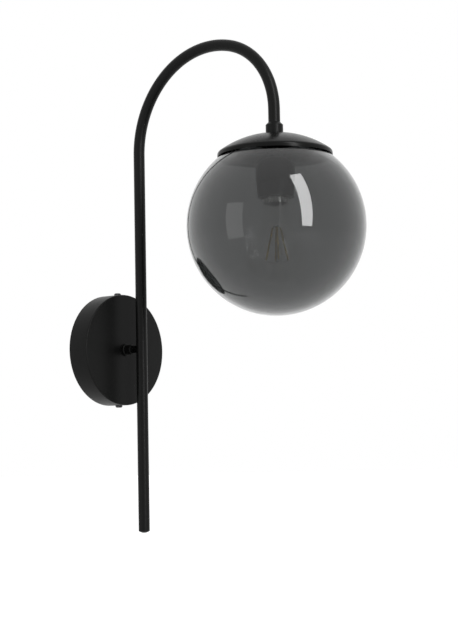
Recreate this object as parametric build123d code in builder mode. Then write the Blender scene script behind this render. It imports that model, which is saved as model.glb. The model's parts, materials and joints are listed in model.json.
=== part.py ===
from build123d import *
from math import cos, pi, radians, sin, sqrt
import os

# Hanging wall sconce: round canopy on the wall, gooseneck tube with a straight tail,
# shallow domed cap over a glass globe, and a screw-in lamp inside.
# Millimetres. The wall is the plane y = 0, the room is on the -Y side, +Z is up.
# The origin is the centre of the canopy's back edge.

os.makedirs("parts", exist_ok=True)

# ---------------------------------------------------------------- driving dimensions
# canopy and its wall bracket
canopy_radius = 60.0
canopy_depth = 25.0
canopy_wall = 1.2
canopy_edge_radius = 1.5
bracket_half_height = 57.0
bracket_width = 20.0
bracket_ear_width = 15.0
bracket_ear_depth = 20.0
bracket_thickness = 1.6
bracket_bend_radius = 2.5
bracket_ear_corner = 3.0
wall_slot_spacing = 80.0
wall_slot_length = 18.0
wall_slot_width = 4.5
mains_hole_radius = 6.0
earth_hole_radius = 2.0
block_hole_radius = 1.5
side_screw_depth = 14.0
side_screw_radius = 1.95
side_screw_head_radius = 3.8
side_screw_head_height = 2.3
side_screw_head_round = 1.7
side_screw_length = 8.0
side_screw_clearance = 0.3

# stand-off between the canopy and the arm
nipple_radius = 4.0
nipple_bore_radius = 3.0
nipple_inner_end = 16.5
nut_across_flats = 13.0
nut_height = 4.0
washer_thickness = 0.8
washer_radius = 7.5
washer_notches = 12
washer_notch_radius = 0.9
sleeve_ring_radius = 6.5
sleeve_ring_length = 3.0
sleeve_body_radius = 5.2
sleeve_length = 11.0
sleeve_ring_chamfer = 0.7
sleeve_body_chamfer = 0.5

# arm
arm_distance = 49.0            # wall to the axis of the upright tube
tube_radius = 6.0
tube_wall = 1.0
tail_end_height = -193.0
bend_start_height = 210.0
first_bend_radius = 102.0
first_bend_angle = 106.0
second_bend_radius = 78.0
plug_dome_height = 3.0
plug_skirt = 1.0
plug_spigot_length = 8.0
plug_spigot_chamfer = 0.6

# head, from the collar down
collar_radius = 8.8
collar_top_height = 219.4
collar_chamfer = 2.6
collar_foot_chamfer = 0.3
collar_tube_depth = 6.0
cap_rim_height = 185.0
cap_rim_radius = 58.0
cap_dome_radius = 97.5
cap_dome_centre_height = 110.5
cap_edge_radius = 4.0
cap_wall = 1.0
cap_seat_height = 207.4        # small flat on top of the dome, under the collar
head_nipple_radius = 5.0
head_nipple_bore_radius = 4.0
head_nipple_top = 213.2
head_nipple_bottom = 184.6
head_nut_across_flats = 14.0
head_washer_radius = 8.5
head_washer_notches = 14
fitter_top_height = 196.0
fitter_bottom_height = 189.0
fitter_radius = 42.8
fitter_wall = 1.0
fitter_edge_round = 0.6
fitter_vent_count = 6
fitter_vent_radius = 3.0
fitter_vent_circle = 27.0
spacer_radius = 7.5

# globe
globe_radius = 90.0
globe_centre_height = 114.5
globe_wall = 2.5
globe_shoulder_radius = 55.0
globe_shoulder_height = 187.6
globe_shoulder_round = 2.0
globe_neck_radius = 41.5
globe_neck_top = 193.8
gasket_outer_radius = 46.0
gasket_thickness = 1.2
gasket_bore_gap = 0.3
gasket_edge_round = 0.4

# lampholder for a 27 mm screw lamp
holder_boss_radius = 7.5
holder_boss_top = 190.1
holder_boss_bottom = 184.0
holder_radius = 19.5
holder_shoulder_height = 172.0
holder_joint_height = 163.0
holder_wall = 1.8
holder_roof = 1.2
holder_curve_share = 1.15      # the dome's radius over its own width
skirt_bottom_height = 143.0
skirt_bottom_radius = 18.0
skirt_mouth_radius = 14.6
skirt_lip_height = 2.0
skirt_lip_step = 0.4
skirt_band = 3.0
grip_count = 24
grip_radius = 0.8
grip_length = 12.0
core_radius = 16.6
core_top = 171.5
core_bottom = 164.0
core_chamfer = 0.8
core_recess_side = 7.2
core_screw_hole_radius = 1.6
core_screw_offset = 10.0
terminal_offset = 9.0
terminal_sink = 3.0
terminal_height = 7.0
terminal_width = 7.0
terminal_half_depth = 3.0
terminal_wire_gap = 0.1
terminal_screw_radius = 1.0
terminal_screw_rise = 2.2
terminal_screw_length = 1.6
terminal_screw_head_radius = 1.9
terminal_screw_head_height = 1.4
shell_radius = 13.9
shell_wall = 0.4
shell_top = 163.6
shell_bottom = 146.0
shell_rim_radius = 8.0
shell_rim_thickness = 0.3
tongue_thickness = 0.35
tongue_half_width = 2.6
tongue_bend_radius = 0.7
tongue_root = 6.2              # distances along Y from the head's axis
tongue_knee = -2.0
tongue_heel = -5.6
tongue_pad = 0.4
tongue_tip = 3.4
tongue_pad_gap = 0.42          # above the lamp's contact
tongue_tip_gap = 0.7

# lamp
bulb_contact_height = 160.6
bulb_cap_radius = 13.1
bulb_cap_top = 156.0
bulb_cap_bottom = 137.0
bulb_cap_wall = 0.5
bulb_cap_flare = 0.3
bulb_cap_flare_height = 3.0
bulb_cap_slope = 1.2
bulb_cap_crown_radius = 9.0
insulator_depth = 1.5
insulator_rise = 0.2
insulator_tip_radius = 5.0
contact_radius = 4.6
contact_thickness = 1.2
contact_round = 0.8
bulb_radius = 30.0
bulb_length = 106.0
bulb_neck_height = 132.0
bulb_neck_top = 143.0
bulb_wall = 0.8
stem_tip = 116.0
stem_flare_thickness = 1.2
stem_foot_height = 136.0
stem_foot_radius = 4.0
stem_waist_height = 122.0
stem_waist_radius = 2.6
stem_tip_radius = 1.6
stem_tip_length = 2.0
filament_count = 4
filament_radius = 0.9
filament_top = (4.0, 112.0)    # distance from the lamp's axis, height
filament_foot = (11.0, 80.0)
lead_radius = 0.35
lead_post_radius = 0.9
lead_ring_radius = 3.6
lead_ring_bore_radius = 1.0
lead_ring_thickness = 0.8
lead_ring_drop = 2.4           # from the stem's tip down to the ring
lead_hub_drop = 2.0            # from the filaments' feet down to the post's foot

# insulated wires
wire_radius = 1.1
wire_gap = 1.25                # half the distance between the live and neutral wires
wire_drop = 1.2                # how far below the stub's axis the wires run
wire_offset = 2.3              # the wires lie this far inside the tube's centre line
wire_bend_radius = 6.6
wire_into_block = 4.0
wire_lead_out = 2.0
wire_fork_rise = 6.4           # where the two wires draw together above the block
wire_fork_height = 181.0       # where the two wires part above the lampholder's core
wire_foot_height = 177.2
earth_wire_reach = 20.0        # how far the earth wire swings out to the side
earth_wire_inset = 0.2
earth_wire_turn_height = 2.0

# terminal block
block_pitch = 8.0
block_first_pole = -4.0
block_poles = 3
block_axis_depth = 8.0
block_top = -16.0
block_height = 14.0
block_base_thickness = 3.0
block_barrel_radius = 3.4
block_bore_radius = 2.1
block_tower_width = 5.2
block_tower_front = 14.2
block_screw_spacing = 7.0
block_screw_well_radius = 1.6
sleeve_tube_radius = 2.05
sleeve_tube_bore_radius = 1.3
sleeve_tube_inset = 1.0
sleeve_thread_radius = 1.25
pole_screw_radius = 1.2
pole_screw_start = 1.35
pole_screw_length = 3.4
block_screw_radius = 1.45
block_screw_head_radius = 1.3
block_screw_head_height = 1.6
block_screw_inset = 0.3

# earth point
earth_height = 20.0
tag_thickness = 0.8
tag_ring_radius = 4.2
tag_hole_radius = 2.1
tag_neck = (4.0, 3.4)
tag_neck_offset = 4.6
tag_barrel_start = 6.2
tag_barrel_length = 6.0
tag_barrel_radius = 1.9
tag_barrel_rise = 1.95         # from the bracket's face to the barrel's axis
tag_wire_gap = 0.06
earth_washer_radius = 4.0
earth_washer_thickness = 0.7
earth_screw_radius = 1.95
earth_screw_inset = 0.2
earth_head_radius = 3.6
earth_head_height = 2.2
earth_head_round = 1.2
earth_slot_width = 0.9
earth_slot_depth = 1.0

fit_gap = 0.05                 # radial clearance between clamped pieces

# ---------------------------------------------------------------- worked-out places
bend_centre_1 = -arm_distance - first_bend_radius
bend_meet_y = bend_centre_1 + first_bend_radius * cos(radians(first_bend_angle))
bend_meet_z = bend_start_height + first_bend_radius * sin(radians(first_bend_angle))
bend_centre_2 = bend_meet_y - second_bend_radius * cos(radians(first_bend_angle))
bend_end_height = bend_meet_z - second_bend_radius * sin(radians(first_bend_angle))
head_y = bend_centre_2 - second_bend_radius
stem_end_height = collar_top_height - collar_tube_depth
canopy_inside = canopy_depth - canopy_wall
globe_inside_radius = globe_radius - globe_wall
globe_neck_bore_radius = globe_neck_radius - globe_wall
shoulder_inside_height = globe_shoulder_height - globe_wall
shoulder_inside_radius = sqrt(
    globe_inside_radius**2 - (shoulder_inside_height - globe_centre_height) ** 2
)
ball_top = globe_centre_height + sqrt(globe_radius**2 - globe_shoulder_radius**2)
cope_gap = 0.02                # the stub's coped end stands this far off the tube
fitter_underside = fitter_top_height - fitter_wall
block_middle = block_first_pole + block_pitch
block_back = bracket_thickness + fit_gap
block_middle_height = block_top - block_height / 2
block_screw_place = (block_first_pole + block_pitch / 2, block_middle_height)
pole_places = [block_first_pole + block_pitch * pole for pole in range(block_poles)]
pole_axes = [(pole, -block_axis_depth) for pole in pole_places]
pole_screw_places = [
    (pole, block_middle_height + side * block_screw_spacing / 2)
    for pole in pole_places
    for side in (-1, 1)
]
terminal_places = [(terminal_offset, 0), (-terminal_offset, 0)]
tongue_height = core_bottom - shell_rim_thickness
tag_back = bracket_thickness + fit_gap
barrel_depth = tag_back + tag_barrel_rise
earth_washer_back = tag_back + tag_thickness + fit_gap

# profile planes: the wall plane seen from the room, and sections through each axis
wall_plane = Plane.XZ
arm_section = Plane(origin=(0, -arm_distance, 0), x_dir=(1, 0, 0), z_dir=(0, -1, 0))
head_section = Plane(origin=(0, head_y, 0), x_dir=(1, 0, 0), z_dir=(0, -1, 0))
arm_axis = Axis((0, -arm_distance, 0), (0, 0, 1))
head_axis = Axis((0, head_y, 0), (0, 0, 1))
stub_axis = Axis((0, 0, 0), (0, 1, 0))


def head_plane(height):
    """Horizontal plane on the head's axis."""
    return Plane(origin=(0, head_y, height), x_dir=(1, 0, 0), z_dir=(0, 0, 1))


# ---------------------------------------------------------------- wall bracket
with BuildPart() as wall_bracket:
    half_sheet = bracket_thickness / 2
    with BuildSketch(Plane.YZ):
        with BuildLine():
            FilletPolyline(
                (-bracket_ear_depth, bracket_half_height - half_sheet),
                (-half_sheet, bracket_half_height - half_sheet),
                (-half_sheet, half_sheet - bracket_half_height),
                (-bracket_ear_depth, half_sheet - bracket_half_height),
                radius=bracket_bend_radius,
            )
        trace(line_width=bracket_thickness)
    extrude(amount=bracket_width / 2, both=True)
    # the ears are narrower than the strip
    ear_trim = (bracket_width - bracket_ear_width) / 2
    with BuildSketch(wall_plane.offset(bracket_bend_radius + bracket_thickness)):
        with Locations(
            ((bracket_width - ear_trim) / 2, 0),
            ((ear_trim - bracket_width) / 2, 0),
        ):
            Rectangle(ear_trim, 2 * bracket_half_height)
    extrude(amount=bracket_ear_depth, mode=Mode.SUBTRACT)
    ear_corners = wall_bracket.edges().filter_by(Axis.Z).group_by(Axis.Y)[0]
    fillet(ear_corners, bracket_ear_corner)
    with BuildSketch(wall_plane):
        Circle(mains_hole_radius)
        with Locations((0, wall_slot_spacing / 2), (0, -wall_slot_spacing / 2)):
            SlotOverall(wall_slot_length, wall_slot_width, rotation=90)
        with Locations((0, earth_height)):
            Circle(earth_hole_radius)
        with Locations(block_screw_place):
            Circle(block_hole_radius)
    extrude(amount=bracket_thickness, mode=Mode.SUBTRACT)
    with BuildSketch(Plane.XY):
        with Locations((0, -side_screw_depth)):
            Circle(side_screw_radius + fit_gap)
    extrude(amount=bracket_half_height + 1, both=True, mode=Mode.SUBTRACT)
wall_bracket.part.label = "wall_bracket"
export_step(wall_bracket.part, "parts/wall_bracket.step")

# ---------------------------------------------------------------- canopy
with BuildPart() as canopy:
    with BuildSketch(wall_plane):
        Circle(canopy_radius)
    extrude(amount=canopy_depth)
    fillet(canopy.faces().sort_by(Axis.Y)[0].edges(), canopy_edge_radius)
    offset(amount=-canopy_wall, openings=canopy.faces().sort_by(Axis.Y)[-1])
    with BuildSketch(wall_plane):
        Circle(nipple_radius + fit_gap)
    extrude(amount=canopy_depth, mode=Mode.SUBTRACT)
    with BuildSketch(Plane.XY):
        with Locations((0, -side_screw_depth)):
            Circle(side_screw_radius + side_screw_clearance)
    extrude(amount=canopy_radius, both=True, mode=Mode.SUBTRACT)
canopy.part.label = "canopy"
export_step(canopy.part, "parts/canopy.step")

# two domed screws, through the canopy's rim into the bracket's ears
with BuildPart() as canopy_side_screws:
    with BuildSketch(Plane.XY.offset(canopy_radius)):
        with Locations((0, -side_screw_depth)):
            Circle(side_screw_head_radius)
    extrude(amount=side_screw_head_height)
    fillet(canopy_side_screws.edges().sort_by(Axis.Z)[-1], side_screw_head_round)
    with BuildSketch(Plane.XY.offset(canopy_radius)):
        with Locations((0, -side_screw_depth)):
            Circle(side_screw_radius)
    extrude(amount=-side_screw_length)
    mirror(about=Plane.XY)
canopy_side_screws.part.label = "canopy_side_screws"
export_step(canopy_side_screws.part, "parts/canopy_side_screws.step")

# ---------------------------------------------------------------- stub, nut, washer, sleeve
with BuildPart() as wall_nipple:
    with BuildSketch(wall_plane.offset(nipple_inner_end)):
        Circle(nipple_radius)
        Circle(nipple_bore_radius, mode=Mode.SUBTRACT)
    extrude(amount=arm_distance - nipple_inner_end - tube_radius / 2)
    # the outer end is coped to the tube that it is brazed to
    with BuildSketch(Plane.XY.offset(-2 * nipple_radius)):
        with Locations((0, -arm_distance)):
            Circle(tube_radius + cope_gap)
    extrude(amount=4 * nipple_radius, mode=Mode.SUBTRACT)
wall_nipple.part.label = "wall_nipple"
export_step(wall_nipple.part, "parts/wall_nipple.step")

with BuildPart() as nipple_washer:
    with BuildSketch(wall_plane.offset(canopy_inside - washer_thickness)):
        Circle(washer_radius)
        Circle(nipple_radius + fit_gap, mode=Mode.SUBTRACT)
        with PolarLocations(washer_radius, washer_notches):
            Circle(washer_notch_radius, mode=Mode.SUBTRACT)
    extrude(amount=washer_thickness)
nipple_washer.part.label = "nipple_washer"
export_step(nipple_washer.part, "parts/nipple_washer.step")

with BuildPart() as nipple_nut:
    with BuildSketch(wall_plane.offset(canopy_inside - washer_thickness - nut_height)):
        RegularPolygon(nut_across_flats / 2, 6, major_radius=False)
        Circle(nipple_radius + fit_gap, mode=Mode.SUBTRACT)
    extrude(amount=nut_height)
nipple_nut.part.label = "nipple_nut"
export_step(nipple_nut.part, "parts/nipple_nut.step")

with BuildPart() as standoff_sleeve:
    with BuildSketch(Plane.XY):
        with BuildLine():
            Polyline(
                (nipple_radius + fit_gap, -canopy_depth),
                (sleeve_ring_radius, -canopy_depth),
                (sleeve_ring_radius, -canopy_depth - sleeve_ring_length),
                (sleeve_body_radius, -canopy_depth - sleeve_ring_length),
                (sleeve_body_radius, -canopy_depth - sleeve_length),
                (nipple_radius + fit_gap, -canopy_depth - sleeve_length),
                close=True,
            )
        make_face()
    revolve(axis=stub_axis)
    ring_edges = standoff_sleeve.edges().filter_by(GeomType.CIRCLE)
    ring_front = ring_edges.filter_by(lambda edge: edge.radius > sleeve_body_radius + fit_gap)
    chamfer(ring_front.sort_by(Axis.Y)[0], sleeve_ring_chamfer)
    body_front = standoff_sleeve.faces().sort_by(Axis.Y)[0].edges().sort_by(SortBy.RADIUS)[-1]
    chamfer(body_front, sleeve_body_chamfer)
standoff_sleeve.part.label = "standoff_sleeve"
export_step(standoff_sleeve.part, "parts/standoff_sleeve.step")

# ---------------------------------------------------------------- gooseneck tube
with BuildPart() as gooseneck_tube:
    with BuildLine(Plane.YZ) as arm_line:
        Line((-arm_distance, tail_end_height), (-arm_distance, bend_start_height))
        CenterArc((bend_centre_1, bend_start_height), first_bend_radius, 0, first_bend_angle)
        CenterArc(
            (bend_centre_2, bend_end_height),
            second_bend_radius,
            first_bend_angle,
            180 - first_bend_angle,
        )
        Line((head_y, bend_end_height), (head_y, stem_end_height))
    with BuildSketch(Plane(origin=(0, -arm_distance, tail_end_height), z_dir=(0, 0, 1))):
        Circle(tube_radius)
        Circle(tube_radius - tube_wall, mode=Mode.SUBTRACT)
    sweep()
    # side hole for the wires, facing the wall stub
    with BuildSketch(wall_plane.offset(arm_distance - tube_radius - tube_wall)):
        Circle(nipple_bore_radius)
    extrude(amount=tube_radius, mode=Mode.SUBTRACT)
gooseneck_tube.part.label = "gooseneck_tube"
export_step(gooseneck_tube.part, "parts/gooseneck_tube.step")

with BuildPart() as tube_end_plug:
    dome_curve = (tube_radius**2 + (plug_dome_height - plug_skirt) ** 2) / (
        2 * (plug_dome_height - plug_skirt)
    )
    plug_bottom = tail_end_height - plug_dome_height
    spigot_radius = tube_radius - tube_wall - fit_gap
    with BuildSketch(arm_section):
        with BuildLine():
            skirt = Polyline(
                (0, tail_end_height + plug_spigot_length),
                (spigot_radius, tail_end_height + plug_spigot_length),
                (spigot_radius, tail_end_height),
                (tube_radius, tail_end_height),
                (tube_radius, tail_end_height - plug_skirt),
            )
            RadiusArc(skirt @ 1, (0, plug_bottom), dome_curve)
            Line((0, plug_bottom), skirt @ 0)
        make_face()
    revolve(axis=arm_axis)
    chamfer(tube_end_plug.faces().sort_by(Axis.Z)[-1].edges(), plug_spigot_chamfer)
tube_end_plug.part.label = "tube_end_plug"
export_step(tube_end_plug.part, "parts/tube_end_plug.step")

# ---------------------------------------------------------------- collar and cap
with BuildPart() as head_collar:
    with BuildSketch(head_plane(cap_seat_height)):
        Circle(collar_radius)
    extrude(amount=collar_top_height - cap_seat_height)
    chamfer(head_collar.faces().sort_by(Axis.Z)[-1].edges(), collar_chamfer)
    chamfer(head_collar.faces().sort_by(Axis.Z)[0].edges(), collar_foot_chamfer)
    with BuildSketch(head_plane(cap_seat_height)):
        Circle(head_nipple_radius + fit_gap)
    extrude(amount=collar_top_height - cap_seat_height, mode=Mode.SUBTRACT)
    with BuildSketch(head_plane(stem_end_height)):
        Circle(tube_radius + fit_gap)
    extrude(amount=collar_tube_depth, mode=Mode.SUBTRACT)
head_collar.part.label = "head_collar"
export_step(head_collar.part, "parts/head_collar.step")

with BuildPart() as cap:
    edge_centre_radius = cap_rim_radius - cap_edge_radius
    edge_centre_height = cap_dome_centre_height + sqrt(
        (cap_dome_radius - cap_edge_radius) ** 2 - edge_centre_radius**2
    )
    # the dome and the rolled edge touch on the line through both centres
    touch = cap_dome_radius / (cap_dome_radius - cap_edge_radius)
    touch_radius = edge_centre_radius * touch
    touch_height = cap_dome_centre_height + (edge_centre_height - cap_dome_centre_height) * touch
    flat_radius = sqrt(cap_dome_radius**2 - (cap_seat_height - cap_dome_centre_height) ** 2)
    with BuildSketch(head_section):
        with BuildLine():
            rim = Polyline((0, cap_rim_height), (cap_rim_radius, cap_rim_height),
                           (cap_rim_radius, edge_centre_height))
            rolled_edge = RadiusArc(rim @ 1, (touch_radius, touch_height), -cap_edge_radius)
            dome = RadiusArc(rolled_edge @ 1, (flat_radius, cap_seat_height), -cap_dome_radius)
            Polyline(dome @ 1, (0, cap_seat_height), (0, cap_rim_height))
        make_face()
    revolve(axis=head_axis)
    offset(amount=-cap_wall, openings=cap.faces().sort_by(Axis.Z)[0])
    with BuildSketch(head_plane(cap_seat_height)):
        Circle(head_nipple_radius + fit_gap)
    extrude(amount=-2 * cap_wall, mode=Mode.SUBTRACT)
cap.part.label = "cap"
export_step(cap.part, "parts/cap.step")

# ---------------------------------------------------------------- head clamping pieces
with BuildPart() as head_nipple:
    with BuildSketch(head_plane(head_nipple_bottom)):
        Circle(head_nipple_radius)
        Circle(head_nipple_bore_radius, mode=Mode.SUBTRACT)
    extrude(amount=head_nipple_top - head_nipple_bottom)
head_nipple.part.label = "head_nipple"
export_step(head_nipple.part, "parts/head_nipple.step")

with BuildPart() as fitter_spacer:
    with BuildSketch(head_plane(fitter_top_height)):
        Circle(spacer_radius)
        Circle(head_nipple_radius + fit_gap, mode=Mode.SUBTRACT)
    extrude(amount=cap_seat_height - cap_wall - fitter_top_height)
fitter_spacer.part.label = "fitter_spacer"
export_step(fitter_spacer.part, "parts/fitter_spacer.step")

with BuildPart() as globe_fitter:
    with BuildSketch(head_plane(fitter_top_height)):
        Circle(fitter_radius)
        Circle(head_nipple_radius + fit_gap, mode=Mode.SUBTRACT)
        with PolarLocations(fitter_vent_circle, fitter_vent_count):
            Circle(fitter_vent_radius, mode=Mode.SUBTRACT)
    extrude(amount=-fitter_wall)
    plate_edge = globe_fitter.faces().sort_by(Axis.Z)[-1].edges().sort_by(SortBy.RADIUS)[-1]
    fillet(plate_edge, fitter_edge_round)
globe_fitter.part.label = "globe_fitter"
export_step(globe_fitter.part, "parts/globe_fitter.step")

# the globe's neck screws up into this ring, which is brazed under the plate's edge
with BuildPart() as fitter_ring:
    with BuildSketch(head_plane(fitter_bottom_height)):
        Circle(fitter_radius)
        Circle(fitter_radius - fitter_wall, mode=Mode.SUBTRACT)
    extrude(amount=fitter_underside - fitter_bottom_height)
fitter_ring.part.label = "fitter_ring"
export_step(fitter_ring.part, "parts/fitter_ring.step")

with BuildPart() as head_washer:
    with BuildSketch(head_plane(fitter_underside)):
        Circle(head_washer_radius)
        Circle(head_nipple_radius + fit_gap, mode=Mode.SUBTRACT)
        with PolarLocations(head_washer_radius, head_washer_notches):
            Circle(washer_notch_radius, mode=Mode.SUBTRACT)
    extrude(amount=-washer_thickness)
head_washer.part.label = "head_washer"
export_step(head_washer.part, "parts/head_washer.step")

with BuildPart() as head_nut:
    with BuildSketch(head_plane(fitter_underside - washer_thickness)):
        RegularPolygon(head_nut_across_flats / 2, 6, major_radius=False)
        Circle(head_nipple_radius + fit_gap, mode=Mode.SUBTRACT)
    extrude(amount=-nut_height)
head_nut.part.label = "head_nut"
export_step(head_nut.part, "parts/head_nut.step")

# ---------------------------------------------------------------- globe
with BuildPart() as glass_globe:
    with BuildSketch(head_section):
        with BuildLine():
            outside = ThreePointArc(
                (0, globe_centre_height - globe_radius),
                (globe_radius, globe_centre_height),
                (globe_shoulder_radius, ball_top),
            )
            neck = Polyline(
                outside @ 1,
                (globe_shoulder_radius - globe_shoulder_round, globe_shoulder_height),
                (globe_neck_radius, globe_shoulder_height),
                (globe_neck_radius, globe_neck_top),
                (globe_neck_bore_radius, globe_neck_top),
                (globe_neck_bore_radius, shoulder_inside_height),
                (shoulder_inside_radius, shoulder_inside_height),
            )
            inside = ThreePointArc(
                neck @ 1,
                (globe_inside_radius, globe_centre_height),
                (0, globe_centre_height - globe_inside_radius),
            )
            Line(inside @ 1, outside @ 0)
        make_face()
    revolve(axis=head_axis)
    shoulder_ring_radius = globe_shoulder_radius - globe_shoulder_round
    shoulder_ring = glass_globe.edges().filter_by(GeomType.CIRCLE).filter_by(
        lambda ring: abs(ring.radius - shoulder_ring_radius) < fit_gap
    )
    fillet(shoulder_ring, globe_shoulder_round)
glass_globe.part.label = "glass_globe"
export_step(glass_globe.part, "parts/glass_globe.step")

with BuildPart() as globe_gasket:
    with BuildSketch(head_plane(globe_shoulder_height + fit_gap)):
        Circle(gasket_outer_radius)
        Circle(globe_neck_radius + gasket_bore_gap, mode=Mode.SUBTRACT)
    extrude(amount=gasket_thickness)
    fillet(globe_gasket.edges().filter_by(GeomType.CIRCLE), gasket_edge_round)
globe_gasket.part.label = "globe_gasket"
export_step(globe_gasket.part, "parts/globe_gasket.step")

# ---------------------------------------------------------------- lampholder
with BuildPart() as lampholder_dome:
    with BuildSketch(head_section):
        with BuildLine():
            boss = Polyline(
                (0, holder_boss_top),
                (holder_boss_radius, holder_boss_top),
                (holder_boss_radius, holder_boss_bottom),
            )
            shoulder = RadiusArc(
                boss @ 1,
                (holder_radius, holder_shoulder_height),
                (holder_radius - holder_boss_radius) * holder_curve_share,
            )
            Polyline(
                shoulder @ 1,
                (holder_radius, holder_joint_height),
                (0, holder_joint_height),
                (0, holder_boss_top),
            )
        make_face()
    revolve(axis=head_axis)
    # hollow inside, up to the roof under the boss
    inner_radius = holder_radius - holder_wall
    roof_radius = holder_boss_radius - 1
    roof_height = holder_boss_bottom - holder_roof
    with BuildSketch(head_section):
        with BuildLine():
            inner_foot = Polyline(
                (0, holder_joint_height),
                (inner_radius, holder_joint_height),
                (inner_radius, holder_shoulder_height),
            )
            inner_dome = RadiusArc(
                inner_foot @ 1,
                (roof_radius, roof_height),
                -(inner_radius - roof_radius) * holder_curve_share,
            )
            Polyline(inner_dome @ 1, (0, roof_height), (0, holder_joint_height))
        make_face()
    revolve(axis=head_axis, mode=Mode.SUBTRACT)
    with BuildSketch(head_plane(holder_boss_top)):
        Circle(head_nipple_radius + fit_gap)
    extrude(amount=roof_height - holder_boss_top - 1, mode=Mode.SUBTRACT)
lampholder_dome.part.label = "lampholder_dome"
export_step(lampholder_dome.part, "parts/lampholder_dome.step")

with BuildPart() as lampholder_skirt:
    with BuildSketch(head_section):
        with BuildLine():
            Polyline(
                (skirt_mouth_radius, skirt_bottom_height),
                (skirt_bottom_radius, skirt_bottom_height),
                (holder_radius, holder_joint_height - skirt_band),
                (holder_radius, holder_joint_height),
                (core_radius + fit_gap, holder_joint_height),
                (skirt_mouth_radius + skirt_lip_step, skirt_bottom_height + skirt_lip_height),
                (skirt_mouth_radius, skirt_bottom_height + skirt_lip_height),
                close=True,
            )
        make_face()
    revolve(axis=head_axis)
    # grip grooves round the outside
    with BuildSketch(head_plane(skirt_bottom_height + skirt_band)):
        with PolarLocations(holder_radius + grip_radius / 2, grip_count):
            Circle(grip_radius)
    extrude(amount=grip_length, mode=Mode.SUBTRACT)
lampholder_skirt.part.label = "lampholder_skirt"
export_step(lampholder_skirt.part, "parts/lampholder_skirt.step")

with BuildPart() as lampholder_core:
    with BuildSketch(head_plane(core_bottom)):
        Circle(core_radius)
    extrude(amount=core_top - core_bottom)
    chamfer(lampholder_core.faces().sort_by(Axis.Z)[-1].edges(), core_chamfer)
    with BuildSketch(head_plane(core_top)):
        with Locations(*terminal_places):
            Rectangle(core_recess_side, core_recess_side)
    extrude(amount=-terminal_sink, mode=Mode.SUBTRACT)
    with BuildSketch(head_plane(core_top)):
        with Locations((0, core_screw_offset), (0, -core_screw_offset)):
            Circle(core_screw_hole_radius)
    extrude(amount=core_bottom - core_top, mode=Mode.SUBTRACT)
lampholder_core.part.label = "lampholder_core"
export_step(lampholder_core.part, "parts/lampholder_core.step")

terminal_front = Plane(
    origin=(0, head_y - terminal_half_depth, core_top + terminal_screw_rise),
    x_dir=(1, 0, 0),
    z_dir=(0, -1, 0),
)
with BuildPart() as core_terminals:
    terminal_foot = core_top - terminal_sink + fit_gap
    with BuildSketch(head_plane(terminal_foot)):
        with Locations(*terminal_places):
            Rectangle(terminal_width, 2 * terminal_half_depth)
    extrude(amount=terminal_height)
    # wire hole from above, screw hole from the front
    with BuildSketch(head_plane(terminal_foot + terminal_height)):
        with Locations(*terminal_places):
            Circle(wire_radius + terminal_wire_gap)
    extrude(amount=-terminal_height / 2, mode=Mode.SUBTRACT)
    with BuildSketch(terminal_front):
        with Locations(*terminal_places):
            Circle(terminal_screw_radius)
    extrude(amount=-terminal_half_depth, mode=Mode.SUBTRACT)
core_terminals.part.label = "core_terminals"
export_step(core_terminals.part, "parts/core_terminals.step")

with BuildPart() as core_terminal_screws:
    with BuildSketch(terminal_front):
        with Locations(*terminal_places):
            Circle(terminal_screw_radius - fit_gap)
    extrude(amount=-terminal_screw_length)
    with BuildSketch(terminal_front):
        with Locations(*terminal_places):
            Circle(terminal_screw_head_radius)
    extrude(amount=terminal_screw_head_height)
core_terminal_screws.part.label = "core_terminal_screws"
export_step(core_terminal_screws.part, "parts/core_terminal_screws.step")

with BuildPart() as screw_shell:
    with BuildSketch(head_plane(shell_bottom)):
        Circle(shell_radius)
        Circle(shell_radius - shell_wall, mode=Mode.SUBTRACT)
    extrude(amount=shell_top - shell_bottom)
    with BuildSketch(head_plane(shell_top)):
        Circle(shell_radius)
        Circle(shell_rim_radius, mode=Mode.SUBTRACT)
    extrude(amount=shell_rim_thickness)
screw_shell.part.label = "screw_shell"
export_step(screw_shell.part, "parts/screw_shell.step")

# sprung tongue that presses on the lamp's centre contact
with BuildPart() as centre_contact:
    with BuildSketch(Plane(origin=(0, head_y, 0), x_dir=(0, 1, 0), z_dir=(1, 0, 0))):
        with BuildLine():
            FilletPolyline(
                (tongue_root, tongue_height),
                (tongue_knee, tongue_height),
                (tongue_heel, tongue_height - 2 * shell_rim_thickness),
                (tongue_pad, bulb_contact_height + tongue_pad_gap),
                (tongue_tip, bulb_contact_height + tongue_tip_gap),
                radius=tongue_bend_radius,
            )
        trace(line_width=tongue_thickness)
    extrude(amount=tongue_half_width, both=True)
centre_contact.part.label = "centre_contact"
export_step(centre_contact.part, "parts/centre_contact.step")

# ---------------------------------------------------------------- lamp
with BuildPart() as bulb_cap:
    with BuildSketch(head_section):
        with BuildLine():
            Polyline(
                (bulb_cap_radius - bulb_cap_wall, bulb_cap_bottom),
                (bulb_cap_radius + bulb_cap_flare, bulb_cap_bottom),
                (bulb_cap_radius, bulb_cap_bottom + bulb_cap_flare_height),
                (bulb_cap_radius, bulb_cap_top - bulb_cap_slope),
                (bulb_cap_radius - bulb_cap_slope, bulb_cap_top),
                (bulb_cap_crown_radius, bulb_cap_top),
                (bulb_cap_crown_radius, bulb_cap_top - bulb_cap_wall),
                (bulb_cap_radius - bulb_cap_wall - 1, bulb_cap_top - bulb_cap_wall),
                (bulb_cap_radius - bulb_cap_wall, bulb_cap_top - bulb_cap_wall - 1),
                close=True,
            )
        make_face()
    revolve(axis=head_axis)
bulb_cap.part.label = "bulb_cap"
export_step(bulb_cap.part, "parts/bulb_cap.step")

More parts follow.
